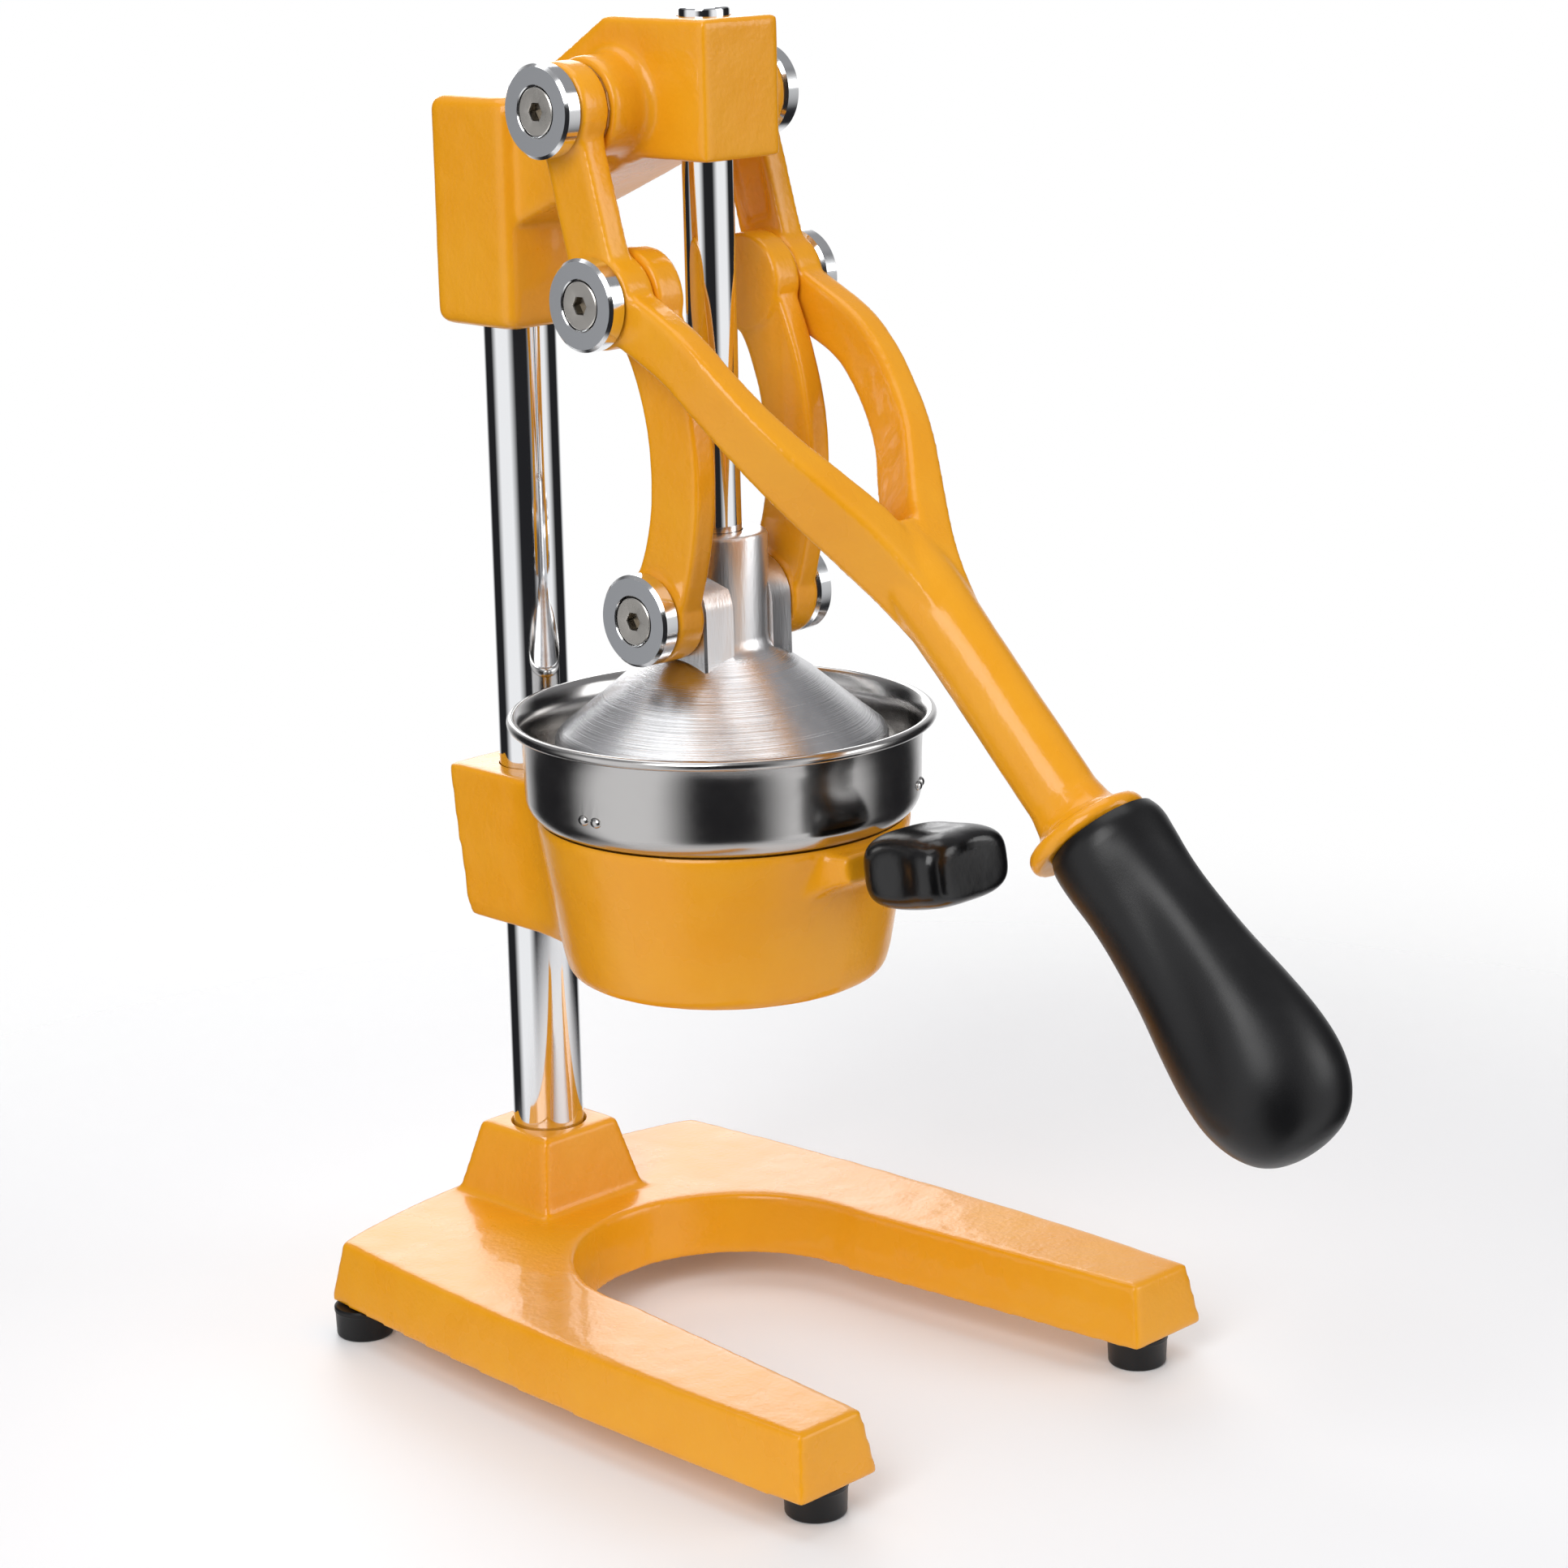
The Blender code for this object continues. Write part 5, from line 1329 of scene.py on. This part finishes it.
class CITRUSPRESS_OT_reamer(bpy.types.Operator):
    """Press the fluted reamer that stands in the cup"""

    bl_idname = "citrus_press.reamer"
    bl_label = "Reamer"

    def execute(self, context):
        low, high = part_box("reamer")
        foot, rise = (high.x - low.x) / 2, high.z - low.z
        shape = (
            (0.0, 1.0), (0.05, 0.99), (0.35, 0.80), (0.65, 0.52), (0.88, 0.26), (0.97, 0.12), (1.0, 0.02))
        flutes = sizes().reamer_flutes
        rings = []
        for up, width in smooth_path(shape, 48):
            depth = 0.075 * held((up - 0.06) / 0.12)
            ring = []
            for a in circle(flutes * 16):
                reach = foot * width * (1 - depth * (1 - abs(math.cos(flutes * a / 2)) ** 0.7))
                ring.append((reach * math.cos(a), reach * math.sin(a), low.z + rise * up))
            rings.append(ring)
        solids = Solids()
        solids.loft(rings, RAM_PLACE)
        reamer = plain(solids.made("reamer_rough"), "reamer_pressed", MOULDED_CREASE)
        settle(reamer, "cup", "stainless", stainless(), "reamer")
        return {"FINISHED"}


# --- Pivots, feet and fasteners -------------------------------------------------------------------


def hexagon(angle, half_width):
    """Distance from the centre to the side of a hexagon at an angle."""
    within = (angle + math.pi / 6) % (math.pi / 3) - math.pi / 6
    return half_width / math.cos(within)


def screw_template(radius, depth, shank, length):
    """A countersunk socket screw along +Z, with its face at zero."""
    half_hex = sizes().hex_width / 2
    steps = 72
    levels = (
        (shank, -length), (shank, -depth), (radius - 0.35 * MM, -0.5 * MM), (radius, -0.22 * MM),
        (radius - 0.3 * MM, 0.0), (half_hex * 1.36, 0.0),
    )
    rings = [round_ring(reach, height, steps) for reach, height in levels]
    for widen, z in ((1.08, -0.02 * MM), (1.0, -0.45 * MM), (1.0, -0.8 * MM), (1.0, -2.7 * MM)):
        reaches = [(hexagon(a, half_hex * widen), a) for a in circle(steps)]
        rings.append([(reach * math.cos(a), reach * math.sin(a), z) for reach, a in reaches])
    rings.append(round_ring(0.3 * MM, -3.1 * MM, steps))
    solids = Solids()
    solids.loft(rings)
    screw = solids.made("screw_template")
    # Marks the deep inside of the hex socket, where the nickel material paints shade.
    socket_shade = screw.data.attributes.new("socket_shade", "FLOAT", "POINT")
    for vert, row in zip(screw.data.vertices, socket_shade.data):
        row.value = float(vert.co.z < -0.6 * MM and vert.co.xy.length < half_hex * 1.4)
    return screw


def pivot_seats(level, node):
    """Seats for a left and right piece on a pivot, at its outer face."""
    x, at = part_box(f"{level}_pivot_{node}_right")[1].x, PIVOTS[level]
    return [((sign * x, at.y, at.z), (sign, 0, 0)) for _, sign in SIDES]


def both(level, node):
    return [f"{level}_pivot_{node}_{side}" for side, _ in SIDES]


class CITRUSPRESS_OT_pivots(bpy.types.Operator):
    """Fit the sleeves, washers and screws on the six pivots"""

    bl_idname = "citrus_press.pivots"
    bl_label = "Pivots"

    def execute(self, context):
        chamfer = sizes().washer_chamfer
        for level, body in LEVELS:
            washer = span_of(f"{level}_pivot_washer_right")
            radius, thick = washer.z / 2, washer.x
            ring = [
                (radius - chamfer, 0), (radius, -chamfer), (radius, -thick + chamfer),
                (radius - chamfer, -thick), (THREAD_BORE, -thick), (THREAD_BORE, -3.6 * MM),
                (7.15 * MM, -0.75 * MM), (7.3 * MM, -0.25 * MM), (7.6 * MM, 0), (radius - chamfer, 0),
            ]
            template = turned("washer_template", ring, washer_steel(), None, 96)
            washers = seated(f"{level}_pivot_washers", template, pivot_seats(level, "washer"), washer_steel())
            settle(washers, body, "chrome", washer_steel(), *both(level, "washer"))
            length = span_of(f"{level}_pivot_screw_right").x
            screws = seated(
                f"{level}_pivot_screws", screw_template(6.85 * MM, 3.1 * MM, 3.9 * MM, length),
                pivot_seats(level, "screw"), nickel())
            settle(screws, body, "nickel", nickel(), *both(level, "screw"))
            sleeve = span_of(f"{level}_pivot_sleeve_right")
            bush = [
                (sleeve.z / 2, 0), (sleeve.z / 2, -sleeve.x), (THREAD_BORE, -sleeve.x), (THREAD_BORE, 0),
                (sleeve.z / 2, 0)]
            template = turned("sleeve_template", bush, bronze(), None, 64)
            sleeves = seated(f"{level}_pivot_sleeves", template, pivot_seats(level, "sleeve"), bronze())
            settle(sleeves, body, "bronze", bronze(), *both(level, "sleeve"))
        return {"FINISHED"}


class CITRUSPRESS_OT_feet(bpy.types.Operator):
    """Screw the four rubber feet under the base"""

    bl_idname = "citrus_press.feet"
    bl_label = "Feet"

    def execute(self, context):
        nodes = [f"foot_{end}_{side}" for end in ("front", "rear") for side, _ in SIDES]
        foot = span_of(nodes[0])
        top, wide = foot.z, foot.x / 2
        floor, edge, head, shank = wide - 0.5 * MM, 1.0 * MM, 4.6 * MM, 2.3 * MM
        profile = [
            (floor, top), (wide, top - 0.5 * MM), (wide, top - 1.6 * MM), (wide - 0.25 * MM, top - 2.0 * MM),
            (floor, 1.6 * MM), *arc((floor - edge, edge), edge, 0, -math.pi / 2, 6), (5.2 * MM, 0),
            (head, 0.6 * MM), (head, 4.6 * MM), (shank, 4.6 * MM), (shank, top), (floor, top),
        ]
        seats = []
        for node in nodes:
            at = middle_of(node)
            seats.append(((at.x, at.y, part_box(node)[0].z), (0, 0, 1)))
        template = turned("foot_template", profile, rubber(), None, 64)
        feet = seated("rubber_feet", template, seats, rubber())
        settle(feet, "frame", "black_rubber", rubber(), *nodes)
        return {"FINISHED"}


class CITRUSPRESS_OT_fasteners(bpy.types.Operator):
    """Finish the screws, shims and bushes that keep their plain shape"""

    bl_idname = "citrus_press.fasteners"
    bl_label = "Fasteners"

    def execute(self, context):
        for name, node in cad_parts.items():
            if node.hide_render:
                continue
            material = bronze() if "shim" in name or "bush" in name else zinc()
            node.data.materials.clear()
            node.data.materials.append(material)
        return {"FINISHED"}


# --- Stage ----------------------------------------------------------------------------------------

FLOOR_RADIUS = 0.65
FLOOR_FADES_FROM = 0.15
TARGET_HEIGHT = 0.2
UPRIGHTS = 3.0
UPRIGHTS_TURN = 0.7
UPRIGHTS_EDGE = 0.55
WALLS = (0.95, 0.95, 0.96, 1.0)
DARK = (0.018, 0.018, 0.02, 1.0)
CEILING = (0.32, 0.32, 0.33, 1.0)
WHITE = (1.0, 1.0, 1.0, 1.0)
LIGHTS = (
    ("key_softbox", (-1.3, -0.5, 1.2), (0.9, 1.2), 17), ("fill_softbox", (0.9, -1.4, 0.9), (1.0, 1.0), 8),
    ("top_softbox", (0.1, 0.4, 1.7), (1.4, 1.4), 9), ("rear_softbox", (0.9, 1.3, 0.8), (0.8, 1.0), 6),
)


def area_light(name, place, size, power):
    light = bpy.data.lights.new(name, "AREA")
    light.shape = "RECTANGLE"
    light.size, light.size_y = size
    light.energy = power * bpy.context.scene.citrus_press_stage.brightness
    lamp = new_object(name, light)
    lamp.location = place
    aim = Vector((0.0, RAM_Y, TARGET_HEIGHT)) - Vector(place)
    lamp.rotation_euler = aim.to_track_quat("-Z", "Y").to_euler()


class CITRUSPRESS_OT_stage(bpy.types.Operator):
    """Set the pale floor, the studio lights and the camera"""

    bl_idname = "citrus_press.stage"
    bl_label = "Stage"

    def execute(self, context):
        stage = context.scene.citrus_press_stage
        self.floor(stage)
        self.room(context)
        for row in LIGHTS:
            area_light(*row)
        self.camera(context, stage)
        return {"FINISHED"}

    def floor(self, stage):
        """A pale floor that fades out into the surroundings, and sooner in what the metals mirror."""
        solids = Solids()
        solids.rod(FLOOR_RADIUS, -5 * MM, 0.0)
        floor = solids.made("floor")
        material, tree, shader = new_material("pale_floor", stage.floor, 0.55, 0.0)
        vector = object_vector(tree)
        tree.links.new(ranged(tree, noise(tree, vector, 3.0), 0.5, 0.6), shader.inputs["Roughness"])
        away = put(tree, "ShaderNodeVectorMath", {0: vector}, operation="LENGTH").outputs["Value"]
        mirrored = put(tree, "ShaderNodeLightPath").outputs["Is Glossy Ray"]
        away = maths(tree, "MULTIPLY", away, maths(tree, "MULTIPLY_ADD", mirrored, 1.2, 1.0))
        fade = put(
            tree, "ShaderNodeMapRange", {0: away, 1: FLOOR_FADES_FROM, 2: FLOOR_RADIUS, 3: 1.0, 4: 0.0},
            interpolation_type="SMOOTHSTEP")
        shader.inputs["Emission Color"].default_value = WHITE
        shader.inputs["Emission Strength"].default_value = 0.07
        tree.links.new(fade.outputs[0], shader.inputs["Alpha"])
        floor.data.materials.append(material)

    def room(self, context):
        """A bright room with darker uprights, which the plated and polished pieces mirror."""
        world = bpy.data.worlds.new("studio")
        context.scene.world = world
        world.use_nodes = True
        tree = world.node_tree
        background = tree.nodes["Background"]
        direction = put(tree, "ShaderNodeTexCoord").outputs["Generated"]
        parts = put(tree, "ShaderNodeSeparateXYZ", {0: direction})
        turn = maths(tree, "ARCTAN2", parts.outputs[1], parts.outputs[0])
        wave = maths(tree, "COSINE", maths(tree, "MULTIPLY_ADD", turn, UPRIGHTS, UPRIGHTS_TURN))
        walls = mix_colour(tree, ranged(tree, wave, 0.0, 1.0, -UPRIGHTS_EDGE, UPRIGHTS_EDGE), WALLS, DARK)
        above = ranged(tree, parts.outputs[2], 0.0, 1.0, 0.30, 0.62)
        room = mix_colour(tree, above, walls, CEILING)
        seen = put(tree, "ShaderNodeLightPath").outputs["Is Camera Ray"]
        tree.links.new(mix_colour(tree, seen, room, WHITE), background.inputs["Color"])
        background.inputs["Strength"].default_value = 1.0

    def camera(self, context, stage):
        data = bpy.data.cameras.new("camera")
        camera = new_object("camera", data)
        turn = Matrix.Rotation(stage.azimuth, 4, "Z") @ Matrix.Rotation(math.pi / 2 - stage.elevation, 4, "X")
        turn = turn @ Matrix.Rotation(stage.roll, 4, "Z")
        across, up, back = (turn.to_3x3() @ Vector(axis) for axis in ((1, 0, 0), (0, 1, 0), (0, 0, 1)))
        target = Vector((0, RAM_Y, TARGET_HEIGHT))
        target += across * stage.aim[0] + up * (stage.aim[1] - TARGET_HEIGHT)
        camera.matrix_world = Matrix.Translation(target + back * stage.distance) @ turn
        data.lens = stage.lens
        data.sensor_width = 36.0
        data.shift_y = stage.shift
        data.clip_start, data.clip_end = 0.05, 30.0
        context.scene.camera = camera
        context.scene.view_settings.view_transform = "Standard"


class CITRUSPRESS_PT_panel(bpy.types.Panel):
    """Sidebar panel that lists the pieces of the press"""

    bl_idname = "CITRUSPRESS_PT_panel"
    bl_label = "Citrus Press"
    bl_space_type = "VIEW_3D"
    bl_region_type = "UI"
    bl_category = "Citrus Press"

    def draw(self, context):
        column = self.layout.column()
        for group in (getattr(context.scene, name) for name, _ in GROUPS):
            for field in group.bl_rna.properties.keys():
                if field not in ("rna_type", "name"):
                    column.prop(group, field)
        for operator in OPERATORS:
            column.operator(operator.bl_idname)


OPERATORS = (
    CITRUSPRESS_OT_base, CITRUSPRESS_OT_head, CITRUSPRESS_OT_holder, CITRUSPRESS_OT_tab_cap,
    CITRUSPRESS_OT_lever, CITRUSPRESS_OT_grip, CITRUSPRESS_OT_links, CITRUSPRESS_OT_bars,
    CITRUSPRESS_OT_presser, CITRUSPRESS_OT_cup, CITRUSPRESS_OT_reamer, CITRUSPRESS_OT_pivots,
    CITRUSPRESS_OT_feet, CITRUSPRESS_OT_fasteners, CITRUSPRESS_OT_stage,
)
GROUPS = (
    ("citrus_press_sizes", CitrusPressSizes), ("citrus_press_finishes", CitrusPressFinishes),
    ("citrus_press_stage", CitrusPressStage),
)


def register():
    for name, group in GROUPS:
        bpy.utils.register_class(group)
        setattr(bpy.types.Scene, name, PointerProperty(type=group))
    for item in (*OPERATORS, CITRUSPRESS_PT_panel):
        bpy.utils.register_class(item)


def unregister():
    for item in reversed((*OPERATORS, CITRUSPRESS_PT_panel)):
        bpy.utils.unregister_class(item)
    for name, group in reversed(GROUPS):
        delattr(bpy.types.Scene, name)
        bpy.utils.unregister_class(group)


def main():
    register()
    for operator in OPERATORS:
        group, name = operator.bl_idname.split(".")
        getattr(getattr(bpy.ops, group), name)()


if __name__ == "__main__":
    main()
